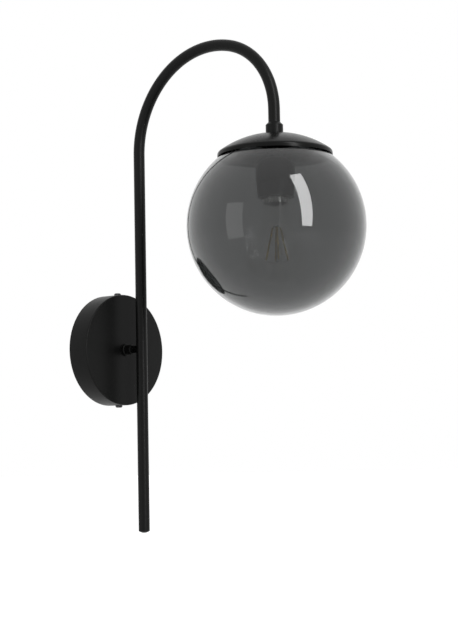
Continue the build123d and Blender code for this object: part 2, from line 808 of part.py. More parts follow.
with BuildPart() as bulb_insulator:
    with BuildSketch(head_section):
        with BuildLine():
            Polyline(
                (0, bulb_cap_top - insulator_depth),
                (bulb_cap_crown_radius - fit_gap, bulb_cap_top - insulator_depth),
                (bulb_cap_crown_radius - fit_gap, bulb_cap_top + insulator_rise),
                (insulator_tip_radius, bulb_contact_height - contact_thickness),
                (0, bulb_contact_height - contact_thickness),
                close=True,
            )
        make_face()
    revolve(axis=head_axis)
bulb_insulator.part.label = "bulb_insulator"
export_step(bulb_insulator.part, "parts/bulb_insulator.step")

with BuildPart() as bulb_contact:
    with BuildSketch(head_plane(bulb_contact_height - contact_thickness)):
        Circle(contact_radius)
    extrude(amount=contact_thickness)
    fillet(bulb_contact.faces().sort_by(Axis.Z)[-1].edges(), contact_round)
bulb_contact.part.label = "bulb_contact"
export_step(bulb_contact.part, "parts/bulb_contact.step")

bulb_centre_height = bulb_contact_height - bulb_length + bulb_radius
bulb_neck_radius = bulb_cap_radius - bulb_cap_wall - fit_gap
neck_rise = bulb_neck_height - bulb_centre_height
# radius of the hollow curve that runs from the upright neck on to the ball
neck_curve = (neck_rise**2 - bulb_radius**2 + bulb_neck_radius**2) / (
    2 * (bulb_radius - bulb_neck_radius)
)
ball_share = bulb_radius / (bulb_radius + neck_curve)
meet_radius = (bulb_neck_radius + neck_curve) * ball_share
meet_height = bulb_centre_height + neck_rise * ball_share
with BuildPart() as bulb_envelope:
    with BuildSketch(head_section):
        with BuildLine():
            lower = ThreePointArc(
                (0, bulb_centre_height - bulb_radius),
                (bulb_radius, bulb_centre_height),
                (meet_radius, meet_height),
            )
            upper = RadiusArc(lower @ 1, (bulb_neck_radius, bulb_neck_height), neck_curve)
            Polyline(
                upper @ 1,
                (bulb_neck_radius, bulb_neck_top),
                (0, bulb_neck_top),
                (0, bulb_centre_height - bulb_radius),
            )
        make_face()
    revolve(axis=head_axis)
    offset(amount=-bulb_wall, openings=bulb_envelope.faces().sort_by(Axis.Z)[-1])
bulb_envelope.part.label = "bulb_envelope"
export_step(bulb_envelope.part, "parts/bulb_envelope.step")

with BuildPart() as bulb_stem:
    flare = bulb_neck_radius - bulb_wall - fit_gap
    with BuildSketch(head_section):
        with BuildLine():
            Polyline(
                (0, bulb_neck_top),
                (flare, bulb_neck_top),
                (flare, bulb_neck_top - stem_flare_thickness),
                (stem_foot_radius, stem_foot_height),
                (stem_waist_radius, stem_waist_height),
                (stem_tip_radius, stem_tip + stem_tip_length),
                (stem_tip_radius, stem_tip),
                (0, stem_tip),
                close=True,
            )
        make_face()
    revolve(axis=head_axis)
bulb_stem.part.label = "bulb_stem"
export_step(bulb_stem.part, "parts/bulb_stem.step")

# four straight light sticks, leaning from the stem's tip out to a wider foot
filament_run = (filament_foot[0] - filament_top[0], filament_foot[1] - filament_top[1])
filament_length = sqrt(filament_run[0] ** 2 + filament_run[1] ** 2)
filament_angles = [radians(360 * turn / filament_count + 45) for turn in range(filament_count)]
with BuildPart() as bulb_filaments:
    for angle in filament_angles:
        outward = (cos(angle), sin(angle))
        start = (filament_top[0] * outward[0], head_y + filament_top[0] * outward[1], filament_top[1])
        along = (filament_run[0] * outward[0], filament_run[0] * outward[1], filament_run[1])
        with BuildSketch(Plane(origin=start, z_dir=along)):
            Circle(filament_radius)
        extrude(amount=filament_length)
bulb_filaments.part.label = "bulb_filaments"
export_step(bulb_filaments.part, "parts/bulb_filaments.step")

with BuildPart() as bulb_leads:
    hub_height = filament_foot[1] - lead_hub_drop
    with BuildSketch(head_plane(stem_tip - lead_ring_drop)):
        Circle(lead_ring_radius)
        Circle(lead_ring_bore_radius, mode=Mode.SUBTRACT)
    extrude(amount=lead_ring_thickness)
    for angle in filament_angles:
        foot = (
            filament_foot[0] * cos(angle),
            head_y + filament_foot[0] * sin(angle),
            filament_foot[1] - filament_radius,
        )
        inward = Vector(0, head_y, hub_height) - Vector(foot)
        with BuildSketch(Plane(origin=foot, z_dir=inward)):
            Circle(lead_radius)
        extrude(amount=inward.length)
    # the post hangs inside the ring without touching it
    with BuildSketch(head_plane(hub_height - lead_radius)):
        Circle(lead_post_radius)
    extrude(amount=stem_tip - lead_ring_drop - hub_height + lead_ring_thickness)
bulb_leads.part.label = "bulb_leads"
export_step(bulb_leads.part, "parts/bulb_leads.step")

# ---------------------------------------------------------------- terminal block
with BuildPart() as terminal_block:
    with BuildSketch(Plane.XY.offset(block_top)):
        with Locations((block_middle, -block_back - block_base_thickness / 2)):
            Rectangle(block_pitch * block_poles, block_base_thickness)
        with Locations(*pole_axes):
            Circle(block_barrel_radius)
        with Locations(*[(pole, -(block_tower_front + block_back) / 2) for pole in pole_places]):
            Rectangle(block_tower_width, block_tower_front - block_back)
    extrude(amount=-block_height)
    with BuildSketch(Plane.XY.offset(block_top)):
        with Locations(*pole_axes):
            Circle(block_bore_radius)
    extrude(amount=-block_height, mode=Mode.SUBTRACT)
    with BuildSketch(wall_plane.offset(block_axis_depth)):
        with Locations(*pole_screw_places):
            Circle(block_screw_well_radius)
    extrude(amount=block_tower_front, mode=Mode.SUBTRACT)
    with BuildSketch(wall_plane):
        with Locations(block_screw_place):
            Circle(block_screw_well_radius)
    extrude(amount=block_tower_front, mode=Mode.SUBTRACT)
terminal_block.part.label = "terminal_block"
export_step(terminal_block.part, "parts/terminal_block.step")

with BuildPart() as terminal_sleeves:
    with BuildSketch(Plane.XY.offset(block_top - sleeve_tube_inset)):
        with Locations(*pole_axes):
            Circle(sleeve_tube_radius)
            Circle(sleeve_tube_bore_radius, mode=Mode.SUBTRACT)
    extrude(amount=2 * sleeve_tube_inset - block_height)
    with BuildSketch(wall_plane.offset(block_axis_depth)):
        with Locations(*pole_screw_places):
            Circle(sleeve_thread_radius)
    extrude(amount=2 * sleeve_tube_bore_radius, mode=Mode.SUBTRACT)
terminal_sleeves.part.label = "terminal_sleeves"
export_step(terminal_sleeves.part, "parts/terminal_sleeves.step")

with BuildPart() as terminal_screws:
    with BuildSketch(wall_plane.offset(block_axis_depth + pole_screw_start)):
        with Locations(*pole_screw_places):
            Circle(pole_screw_radius)
    extrude(amount=pole_screw_length)
terminal_screws.part.label = "terminal_screws"
export_step(terminal_screws.part, "parts/terminal_screws.step")

with BuildPart() as terminal_block_screw:
    base_front = block_back + block_base_thickness + fit_gap
    with BuildSketch(wall_plane.offset(block_screw_inset)):
        with Locations(block_screw_place):
            Circle(block_screw_radius)
    extrude(amount=base_front - block_screw_inset)
    with BuildSketch(wall_plane.offset(base_front)):
        with Locations(block_screw_place):
            Circle(block_screw_head_radius)
    extrude(amount=block_screw_head_height)
terminal_block_screw.part.label = "terminal_block_screw"
export_step(terminal_block_screw.part, "parts/terminal_block_screw.step")

# ---------------------------------------------------------------- earth point
with BuildPart() as earth_tag:
    with BuildSketch(wall_plane.offset(tag_back)):
        with Locations((0, earth_height)):
            Circle(tag_ring_radius)
        with Locations((tag_neck_offset, earth_height)):
            Rectangle(*tag_neck)
        with Locations((0, earth_height)):
            Circle(tag_hole_radius, mode=Mode.SUBTRACT)
    extrude(amount=tag_thickness)
    with BuildSketch(Plane.YZ.offset(tag_barrel_start)):
        with Locations((-barrel_depth, earth_height)):
            Circle(tag_barrel_radius)
            Circle(wire_radius + tag_wire_gap, mode=Mode.SUBTRACT)
    extrude(amount=tag_barrel_length)
earth_tag.part.label = "earth_tag"
export_step(earth_tag.part, "parts/earth_tag.step")

with BuildPart() as earth_washer:
    with BuildSketch(wall_plane.offset(earth_washer_back)):
        with Locations((0, earth_height)):
            Circle(earth_washer_radius)
            Circle(tag_hole_radius, mode=Mode.SUBTRACT)
    extrude(amount=earth_washer_thickness)
earth_washer.part.label = "earth_washer"
export_step(earth_washer.part, "parts/earth_washer.step")

with BuildPart() as earth_screw:
    head_seat = earth_washer_back + earth_washer_thickness + fit_gap
    with BuildSketch(wall_plane.offset(earth_screw_inset)):
        with Locations((0, earth_height)):
            Circle(earth_screw_radius)
    extrude(amount=head_seat - earth_screw_inset)
    with BuildSketch(wall_plane.offset(head_seat)):
        with Locations((0, earth_height)):
            Circle(earth_head_radius)
    extrude(amount=earth_head_height)
    fillet(earth_screw.faces().sort_by(Axis.Y)[0].edges(), earth_head_round)
    with BuildSketch(wall_plane.offset(head_seat + earth_head_height)):
        with Locations((0, earth_height)):
            Rectangle(2 * earth_head_radius + fit_gap, earth_slot_width)
    extrude(amount=-earth_slot_depth, mode=Mode.SUBTRACT)
earth_screw.part.label = "earth_screw"
export_step(earth_screw.part, "parts/earth_screw.step")

# ---------------------------------------------------------------- wires
wire_y = -arm_distance - wire_offset
head_wire_y = head_y + wire_offset
wire_arc_1 = first_bend_radius - wire_offset
wire_arc_2 = second_bend_radius - wire_offset


def arc_point(centre_y, centre_z, radius, degrees_round):
    """Point of the arm's bend, in its own plane."""
    return (
        centre_y + radius * cos(radians(degrees_round)),
        centre_z + radius * sin(radians(degrees_round)),
    )


def lamp_wire_route(side, pole):
    """Line of one insulated core, from its terminal in the canopy to the lampholder."""
    x = side * wire_gap
    terminal_x = side * terminal_offset
    FilletPolyline(
        (pole, -block_axis_depth, block_top - wire_into_block),
        (pole, -block_axis_depth, block_top + wire_lead_out),
        (x, -block_axis_depth, block_top + wire_fork_rise),
        (x, -block_axis_depth, -wire_drop),
        (x, wire_y, -wire_drop),
        (x, wire_y, bend_start_height),
        radius=wire_bend_radius,
    )
    middle_1 = arc_point(bend_centre_1, bend_start_height, wire_arc_1, first_bend_angle / 2)
    meet = arc_point(bend_centre_1, bend_start_height, wire_arc_1, first_bend_angle)
    middle_2 = arc_point(bend_centre_2, bend_end_height, wire_arc_2, (180 + first_bend_angle) / 2)
    ThreePointArc((x, wire_y, bend_start_height), (x, *middle_1), (x, *meet))
    ThreePointArc((x, *meet), (x, *middle_2), (x, head_wire_y, bend_end_height))
    FilletPolyline(
        (x, head_wire_y, bend_end_height),
        (x, head_wire_y, wire_fork_height),
        (terminal_x, head_y, wire_foot_height),
        (terminal_x, head_y, core_top + wire_radius),
        radius=wire_bend_radius / 2,
    )


def start_plane(route):
    """Plane square to the start of a wire's line."""
    return Plane(origin=route @ 0, z_dir=route % 0)


def print_length(name, route, solid):
    """Compare the wire's line with its solid's volume over its section."""
    by_volume = solid.volume / (pi * wire_radius**2)
    print(name, "length", round(route.length, 1), "by volume", round(by_volume, 1))


with BuildPart() as live_wire:
    with BuildLine() as live_route:
        lamp_wire_route(-1, pole_places[0])
    with BuildSketch(start_plane(live_route.wire())):
        Circle(wire_radius)
    sweep(path=live_route.wire())
live_wire.part.label = "live_wire"
export_step(live_wire.part, "parts/live_wire.step")
print_length("live_wire", live_route.wire(), live_wire.part)

with BuildPart() as neutral_wire:
    with BuildLine() as neutral_route:
        lamp_wire_route(1, pole_places[1])
    with BuildSketch(start_plane(neutral_route.wire())):
        Circle(wire_radius)
    sweep(path=neutral_route.wire())
neutral_wire.part.label = "neutral_wire"
export_step(neutral_wire.part, "parts/neutral_wire.step")
print_length("neutral_wire", neutral_route.wire(), neutral_wire.part)

with BuildPart() as earth_wire:
    with BuildLine() as earth_route:
        FilletPolyline(
            (tag_barrel_start + earth_wire_inset, -barrel_depth, earth_height),
            (earth_wire_reach, -barrel_depth, earth_height),
            (earth_wire_reach, -block_axis_depth, earth_wire_turn_height),
            (pole_places[2], -block_axis_depth, block_top / 2),
            (pole_places[2], -block_axis_depth, block_top - wire_into_block),
            radius=wire_bend_radius,
        )
    with BuildSketch(start_plane(earth_route.wire())):
        Circle(wire_radius)
    sweep(path=earth_route.wire())
earth_wire.part.label = "earth_wire"
export_step(earth_wire.part, "parts/earth_wire.step")
print_length("earth_wire", earth_route.wire(), earth_wire.part)
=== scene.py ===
import json
from math import atan2, cos, degrees, pi, radians, sin, sqrt

import bpy
from bpy.props import FloatProperty, FloatVectorProperty, PointerProperty
from bpy.types import Operator, Panel, PropertyGroup
from mathutils import Matrix, Vector


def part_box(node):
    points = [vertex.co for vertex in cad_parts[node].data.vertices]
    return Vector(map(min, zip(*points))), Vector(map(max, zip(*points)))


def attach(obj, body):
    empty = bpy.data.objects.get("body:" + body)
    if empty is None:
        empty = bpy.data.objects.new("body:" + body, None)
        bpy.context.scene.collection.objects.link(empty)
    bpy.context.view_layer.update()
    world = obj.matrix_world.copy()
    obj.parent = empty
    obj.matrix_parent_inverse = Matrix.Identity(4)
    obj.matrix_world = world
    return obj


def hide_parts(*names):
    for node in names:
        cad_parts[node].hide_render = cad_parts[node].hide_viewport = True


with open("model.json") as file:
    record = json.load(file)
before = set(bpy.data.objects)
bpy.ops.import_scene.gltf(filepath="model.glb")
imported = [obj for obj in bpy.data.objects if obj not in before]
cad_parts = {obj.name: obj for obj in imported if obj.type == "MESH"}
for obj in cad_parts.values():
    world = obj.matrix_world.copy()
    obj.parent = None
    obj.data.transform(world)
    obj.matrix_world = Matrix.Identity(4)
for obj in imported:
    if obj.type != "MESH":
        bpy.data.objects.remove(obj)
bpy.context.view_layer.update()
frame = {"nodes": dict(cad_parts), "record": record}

bl_info = {
    "name": "Globe Wall Sconce",
    "version": (1, 0, 0),
    "blender": (4, 5, 0),
    "location": "View3D > Sidebar > Sconce",
    "description": "Dresses the packed wall sconce: canopy, gooseneck arm, cap, globe and lamp",
    "category": "Add Mesh",
}

# The frame is in metres: the wall is y = 0, the room is on the -Y side, +Z is up.
HEAD_Y = sum(corner.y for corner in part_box("head_collar")) / 2
WELD = 2e-6
FIT = 0.00005  # between a piece and the one that it sits in
SLOT_OF = {entry["node"]: entry["material_slot"] for entry in frame["record"]["subparts"]}
BODY_OF = {node: body for body, nodes in frame["record"]["behaviour"]["bodies"].items()
           for node in nodes}
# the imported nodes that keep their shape; the operators model the others anew
ROUND_NODES = (
    "wall_bracket", "wall_nipple", "nipple_washer", "nipple_nut",
    "head_nipple", "fitter_spacer", "globe_fitter", "fitter_ring", "head_washer", "head_nut",
    "globe_gasket", "lampholder_dome", "lampholder_skirt", "lampholder_core", "core_terminals",
    "core_terminal_screws", "screw_shell", "centre_contact",
    "bulb_insulator", "bulb_contact", "bulb_stem", "bulb_filaments", "bulb_leads",
    "terminal_block", "terminal_sleeves", "terminal_block_screw",
    "earth_tag", "earth_washer", "earth_screw", "live_wire", "neutral_wire", "earth_wire",
)


# ---------------------------------------------------------------- sizes and colours
def length(name, description, default):
    """A length in metres that the sidebar shows in the scene's own unit."""
    return FloatProperty(name=name, description=description, default=default, unit="LENGTH",
                         subtype="DISTANCE", precision=5)


def colour(name, description, default):
    """A colour without alpha."""
    return FloatVectorProperty(name=name, description=description, default=default, size=3,
                               min=0.0, max=1.0, subtype="COLOR")


class CanopySizes(PropertyGroup):
    """Round plate on the wall and the pieces on its face."""
    radius: length("Radius", "Outer radius of the canopy", 0.060)
    depth: length("Depth", "How far the canopy's face stands off the wall", 0.025)
    wall: length("Wall", "Thickness of the spun metal", 0.0012)
    edge: length("Edge radius", "Rounding between the rim and the face", 0.0015)
    hole: length("Hole radius", "Hole in the face for the threaded stub", 0.00405)
    sleeve_ring: length("Sleeve ring", "Radius of the sleeve's ring against the face", 0.0065)
    sleeve_body: length("Sleeve body", "Radius of the sleeve in front of its ring", 0.0052)
    sleeve_length: length("Sleeve length", "Length of the sleeve from the face", 0.011)
    ring_length: length("Ring length", "Length of the sleeve's ring", 0.003)
    screw_depth: length("Screw depth", "Distance of the side screws from the wall", 0.014)


class ArmSizes(PropertyGroup):
    """Gooseneck tube, its end plug and the collar at the head."""
    tube_radius: length("Tube radius", "Outer radius of the tube", 0.006)
    tube_wall: length("Tube wall", "Thickness of the tube", 0.001)
    distance: length("Distance", "From the wall to the upright's axis", 0.049)
    tail: length("Tail height", "Height of the upright's open lower end", -0.193)
    bend_start: length("Bend height", "Height at which the upright starts to bend", 0.210)
    first_radius: length("First bend", "Radius of the bend that starts on the upright", 0.102)
    first_angle: FloatProperty(name="First angle", description="Turn of the first bend",
                               default=radians(106.0), subtype="ANGLE")
    second_radius: length("Second bend", "Radius of the bend that comes down to the head", 0.078)
    stem_end: length("Stem end", "Height of the tube's end in the collar", 0.2134)
    plug_dome: length("Plug dome", "How far the end plug shows below the tube", 0.003)
    collar_radius: length("Collar radius", "Outer radius of the collar", 0.0088)
    collar_top: length("Collar top", "Height of the collar's upper end", 0.2194)
    collar_chamfer: length("Collar chamfer", "Size of the collar's sloping shoulder", 0.0026)


class HeadSizes(PropertyGroup):
    """Domed cap over the globe."""
    rim_height: length("Rim height", "Height of the cap's open rim", 0.185)
    rim_radius: length("Rim radius", "Outer radius of the cap", 0.058)
    dome_radius: length("Dome radius", "Radius of the sphere that the dome is part of", 0.0975)
    dome_centre: length("Dome centre", "Height of that sphere's centre", 0.1105)
    edge: length("Rolled edge", "Radius of the turn from the dome to the rim", 0.004)
    wall: length("Wall", "Thickness of the cap", 0.001)
    seat: length("Seat height", "Height of the small flat under the collar", 0.2074)
    hole: length("Hole radius", "Hole for the threaded tube of the head", 0.00505)


class GlobeSizes(PropertyGroup):
    """Smoke glass globe with a straight neck."""
    radius: length("Radius", "Outer radius of the globe", 0.090)
    centre: length("Centre height", "Height of the globe's centre", 0.1145)
    wall: length("Wall", "Thickness of the glass", 0.0025)
    shoulder: length("Shoulder radius", "Where the ball turns in to the shoulder", 0.055)
    shoulder_height: length("Shoulder height", "Height of the shoulder's flat", 0.1876)
    shoulder_round: length("Shoulder round", "Rounding of the shoulder's edge", 0.002)
    neck: length("Neck radius", "Outer radius of the neck", 0.0415)
    neck_top: length("Neck top", "Height of the neck's open end", 0.1938)


class LampSizes(PropertyGroup):
    """Screw lamp inside the globe."""
    radius: length("Bulb radius", "Outer radius of the lamp's glass", 0.030)
    centre: length("Bulb centre", "Height of the glass's centre", 0.0846)
    glass_wall: length("Glass wall", "Thickness of the lamp's glass", 0.0008)
    neck: length("Neck radius", "Outer radius of the glass at the cap", 0.01255)
    neck_height: length("Neck height", "Height at which the glass becomes straight", 0.132)
    glass_top: length("Glass top", "Height of the glass's upper end inside the cap", 0.143)
    cap_radius: length("Cap radius", "Radius over the crests of the lamp cap's thread", 0.0131)
    thread_depth: length("Thread depth", "From the crest to the root of the thread", 0.0006)
    thread_pitch: length("Thread pitch", "Rise of the thread in one turn", 0.003629)
    cap_bottom: length("Cap bottom", "Height of the cap's lower rim", 0.137)
    thread_bottom: length("Thread bottom", "Height at which the thread starts", 0.1435)
    cap_top: length("Cap top", "Height of the cap's upper end", 0.156)


class Finishes(PropertyGroup):
    """Colours of the finishes."""
    powder_black: colour("Powder coat", "Satin black of the canopy and the arm", (0.0048, 0.0050, 0.0048))
    enamel_black: colour("Enamel", "Glossier black of the domed cap", (0.0042, 0.0044, 0.0041))
    smoke: colour("Smoke glass", "Tint of the globe", (0.20, 0.205, 0.205))
    zinc: colour("Zinc", "Zinc plate on steel", (0.62, 0.63, 0.65))
    brass: colour("Brass", "Contacts and terminals", (0.80, 0.58, 0.26))
    phosphor: colour("Phosphor", "Coating of the lamp's light sticks", (0.90, 0.62, 0.12))


class StudioSettings(PropertyGroup):
    """Camera and light."""
    camera_place: FloatVectorProperty(name="Camera place", description="Where the camera stands",
                                      default=(-1.17718, -1.15098, -0.08402), subtype="TRANSLATION")
    heading: FloatProperty(name="Heading", description="Direction of view, from +Y towards +X",
                           default=0.877, subtype="ANGLE")
    pitch: FloatProperty(name="Pitch", description="How far the camera looks up",
                         default=0.077, subtype="ANGLE")
    roll: FloatProperty(name="Roll", description="Turn of the camera about its line of sight",
                        default=-0.0183, subtype="ANGLE")
    focal: FloatProperty(name="Focal length", description="For a 36 mm sensor along the frame's height",
                         default=87.097, unit="CAMERA")
    floor_height: length("Floor height", "Height of the floor below the sconce", -0.42)
    key_power: FloatProperty(name="Key power", description="Power of the tall soft light in front",
                             default=42.0, unit="POWER")
    fill_power: FloatProperty(name="Fill power", description="Power of the light on the left",
                              default=3.0, unit="POWER")
    rim_power: FloatProperty(name="Rim power", description="Power of the faint light high behind",
                             default=0.35, unit="POWER")
    room_level: FloatProperty(name="Room level", description="Light from the dim side of the room",
                              default=0.05, min=0.0)
    pale_level: FloatProperty(name="Pale level", description="Light from the room's pale left side",
                              default=0.75, min=0.0)


# ---------------------------------------------------------------- hand tools
def object_mode():
    """Leave edit mode and let go of everything."""
    if bpy.context.object and bpy.context.object.mode != "OBJECT":
        bpy.ops.object.mode_set(mode="OBJECT")
    bpy.ops.object.select_all(action="DESELECT")


def pick(piece):
    """Make one object the selected and active one."""
    object_mode()
    piece.select_set(True)
    bpy.context.view_layer.objects.active = piece


def arc(centre, radius, start, end, steps):
    """Points of an arc in a profile's plane, between two angles in degrees."""
    turns = [radians(start + (end - start) * step / steps) for step in range(steps + 1)]
    return [(centre[0] + radius * cos(turn), centre[1] + radius * sin(turn)) for turn in turns]


def single_point(name, place):
    """A new object at the origin, in edit mode, with one selected vertex at a place."""
    object_mode()
    bpy.ops.mesh.primitive_plane_add(size=0.001, location=(0, 0, 0), enter_editmode=True)
    piece = bpy.context.object
    piece.name = name
    piece.data.name = name
    bpy.ops.mesh.select_all(action="SELECT")
    bpy.ops.mesh.merge(type="CENTER")
    bpy.ops.transform.translate(value=place)
    return piece


def soften(piece, angle=32.0):
    """Shade the faces smooth, up to an angle between them."""
    pick(piece)
    bpy.ops.object.shade_smooth_by_angle(angle=radians(angle))


def turned(name, profile, place, along, steps):
    """Spin a closed profile of (radius, height) points round an axis through a place."""
    place = Vector(place)
    along = Vector(along)
    corners = [place + Vector((radius, 0, 0)) + along * height for radius, height in profile]
    piece = single_point(name, corners[0])
    for here, there in zip(corners, corners[1:] + corners[:1]):
        bpy.ops.mesh.extrude_region_move(TRANSFORM_OT_translate={"value": there - here})
    bpy.ops.mesh.select_all(action="SELECT")
    bpy.ops.mesh.remove_doubles(threshold=WELD)
    bpy.ops.mesh.spin(steps=steps, angle=2 * pi, center=place, axis=along)
    bpy.ops.mesh.select_all(action="SELECT")
    bpy.ops.mesh.remove_doubles(threshold=WELD)
    bpy.ops.mesh.normals_make_consistent(inside=False)
    soften(piece)
    return piece


def head_turned(name, profile, steps):
    """Spin a profile round the head's upright axis; heights are heights above the origin."""
    return turned(name, profile, (0, HEAD_Y, 0), (0, 0, 1), steps)


def use_modifier(piece, kind, **settings):
    """Add a modifier to a piece and apply it."""
    pick(piece)
    modifier = piece.modifiers.new(kind.title(), kind)
    for setting, value in settings.items():
        setattr(modifier, setting, value)
    bpy.ops.object.modifier_apply(modifier=modifier.name)


def cut_slot(piece, size, place):
    """Cut a box-shaped slot out of a piece."""
    object_mode()
    bpy.ops.mesh.primitive_cube_add(size=1, location=place)
    cutter = bpy.context.object
    cutter.scale = size
    bpy.ops.object.transform_apply()
    use_modifier(piece, "BOOLEAN", operation="DIFFERENCE", object=cutter, solver="EXACT")
    bpy.data.objects.remove(cutter)


def seat(piece, matrix):
    """Move a finished piece to its place and leave the object at the origin."""
    pick(piece)
    piece.matrix_world = matrix
    bpy.ops.object.transform_apply(location=True, rotation=True, scale=True)


def copy_of(piece, name):
    """A copy with a mesh of its own."""
    twin = piece.copy()
    twin.data = piece.data.copy()
    twin.name = name
    twin.data.name = name
    bpy.context.collection.objects.link(twin)
    return twin


def joined(pieces, name):
    """Several pieces made one."""
    pick(pieces[0])
    for piece in pieces[1:]:
        piece.select_set(True)
    bpy.ops.object.join()
    pieces[0].name = name
    pieces[0].data.name = name
    return pieces[0]


def merged_copy(node, name):
    """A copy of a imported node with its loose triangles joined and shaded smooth."""
    piece = copy_of(frame["nodes"][node], name)
    piece.parent = None
    for key in [key for key in piece.keys() if key.startswith("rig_")]:
        del piece[key]
    pick(piece)
    bpy.ops.object.mode_set(mode="EDIT")
    bpy.ops.mesh.select_all(action="SELECT")
    bpy.ops.mesh.remove_doubles(threshold=WELD)
    bpy.ops.mesh.tris_convert_to_quads(face_threshold=radians(1), shape_threshold=radians(180))
    soften(piece)
    return piece


def dress(piece, material, body, slot, *nodes):
    """Give a finished piece its material and its body, and hide the nodes it stands for. The slot argument
    is not used.
    """
    piece.data.materials.clear()
    piece.data.materials.append(material)
    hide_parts(*nodes)
    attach(piece, body)


# ---------------------------------------------------------------- finishes
def new_finish(name, base, roughness, sockets=()):
    """A Principled material with fixed values on its sockets."""
    material = bpy.data.materials.new(name)
    material.use_nodes = True
    shader = material.node_tree.nodes["Principled BSDF"]
    shader.inputs["Base Color"].default_value = (*base, 1.0)
    shader.inputs["Roughness"].default_value = roughness
    for socket, value in dict(sockets).items():
        shader.inputs[socket].default_value = value
    return material


def noise(material, scale, detail=4.0, stretch=(1, 1, 1)):
    """Noise on Object coordinates; scale is in waves per metre."""
    nodes = material.node_tree.nodes
    links = material.node_tree.links
    place = nodes.new("ShaderNodeTexCoord")
    mapping = nodes.new("ShaderNodeMapping")
    mapping.inputs["Scale"].default_value = stretch
    pattern = nodes.new("ShaderNodeTexNoise")
    pattern.inputs["Scale"].default_value = scale
    pattern.inputs["Detail"].default_value = detail
    links.new(place.outputs["Object"], mapping.inputs["Vector"])
    links.new(mapping.outputs["Vector"], pattern.inputs["Vector"])
    return pattern.outputs["Fac"]


def drive_range(material, source, socket, low, high):
    """Let a pattern move a shader socket between two values."""
    span = material.node_tree.nodes.new("ShaderNodeMapRange")
    span.inputs["From Min"].default_value = 0.3
    span.inputs["From Max"].default_value = 0.7
    span.inputs["To Min"].default_value = low
    span.inputs["To Max"].default_value = high
    shader = material.node_tree.nodes["Principled BSDF"]
    material.node_tree.links.new(source, span.inputs["Value"])
    material.node_tree.links.new(span.outputs["Result"], shader.inputs[socket])


def drive_colour(material, source, first, second):
    """Let a pattern move the base colour between two colours."""
    ramp = material.node_tree.nodes.new("ShaderNodeValToRGB")
    ramp.color_ramp.elements[0].position = 0.3
    ramp.color_ramp.elements[0].color = (*first, 1.0)
    ramp.color_ramp.elements[1].position = 0.7
    ramp.color_ramp.elements[1].color = (*second, 1.0)
    shader = material.node_tree.nodes["Principled BSDF"]
    material.node_tree.links.new(source, ramp.inputs["Fac"])
    material.node_tree.links.new(ramp.outputs["Color"], shader.inputs["Base Color"])


def add_bump(material, source, strength, distance):
    """Let a pattern raise the surface."""
    bump = material.node_tree.nodes.new("ShaderNodeBump")
    bump.inputs["Strength"].default_value = strength
    bump.inputs["Distance"].default_value = distance
    shader = material.node_tree.nodes["Principled BSDF"]
    material.node_tree.links.new(source, bump.inputs["Height"])
    material.node_tree.links.new(bump.outputs["Normal"], shader.inputs["Normal"])


def tinted(base, factor):
    """A lighter or darker version of a colour."""
    return tuple(min(1.0, channel * factor) for channel in base)


def powder_coat(finishes):
    """Satin black powder coat with the fine orange peel that it cures with.

    Its gloss is weak, so that it stays black in front of the white background.
    """
    material = new_finish("satin_powder_coat", finishes.powder_black, 0.37,
                          {"Specular IOR Level": 0.12})
    drive_colour(material, noise(material, 60), tinted(finishes.powder_black, 0.92),
                 tinted(finishes.powder_black, 1.1))
    drive_range(material, noise(material, 350), "Roughness", 0.34, 0.40)
    add_bump(material, noise(material, 1400, 2.0), 0.12, 0.00012)
    return material


def cap_enamel(finishes):
    """Smoother black enamel on the spun cap, with a sharper gloss than the powder coat."""
    material = new_finish("gloss_black_enamel", finishes.enamel_black, 0.24,
                          {"Specular IOR Level": 0.10})
    drive_colour(material, noise(material, 45), tinted(finishes.enamel_black, 0.9),
                 tinted(finishes.enamel_black, 1.12))
    drive_range(material, noise(material, 220), "Roughness", 0.21, 0.28)
    add_bump(material, noise(material, 700, 2.0), 0.06, 0.00012)
    return material


def smoke_glass(finishes):
    """Clear glass with a grey smoke tint."""
    material = new_finish("smoke_glass", finishes.smoke, 0.01,
                          {"Transmission Weight": 1.0, "IOR": 1.5})
    drive_range(material, noise(material, 30), "Roughness", 0.004, 0.016)
    add_bump(material, noise(material, 22, 1.0), 0.05, 0.0004)
    return material


def lamp_glass(finishes):
    """Thin clear glass of the lamp."""
    material = new_finish("clear_lamp_glass", (0.97, 0.97, 0.96), 0.01,
                          {"Transmission Weight": 1.0, "IOR": 1.45})
    drive_range(material, noise(material, 60), "Roughness", 0.004, 0.014)
    return material


def zinc_plate(finishes):
    """Bright zinc on steel, faintly clouded."""
    material = new_finish("zinc_plate", finishes.zinc, 0.32, {"Metallic": 1.0})
    drive_colour(material, noise(material, 160), tinted(finishes.zinc, 0.88), tinted(finishes.zinc, 1.05))
    drive_range(material, noise(material, 500), "Roughness", 0.26, 0.42)
    add_bump(material, noise(material, 900, 3.0, (1, 1, 0.1)), 0.08, 0.00008)
    return material


def brass_metal(finishes):
    """Rolled brass, slightly browned."""
    material = new_finish("rolled_brass", finishes.brass, 0.28, {"Metallic": 1.0})
    drive_colour(material, noise(material, 240), tinted(finishes.brass, 0.82), tinted(finishes.brass, 1.04))
    drive_range(material, noise(material, 700), "Roughness", 0.22, 0.36)
    return material


def nickel_plate(finishes):
    """Nickel plate on the lamp's screw cap."""
    material = new_finish("nickel_plate", (0.70, 0.69, 0.66), 0.24, {"Metallic": 1.0})
    drive_range(material, noise(material, 600), "Roughness", 0.18, 0.32)
    return material


def plastic(name, base, roughness, waviness):
    """Moulded plastic with a faint surface."""
    material = new_finish(name, base, roughness)
    drive_colour(material, noise(material, 120), tinted(base, 0.92), tinted(base, 1.07))
    drive_range(material, noise(material, 400), "Roughness", roughness - 0.04, roughness + 0.05)
    add_bump(material, noise(material, 1800, 2.0), waviness, 0.0001)
    return material


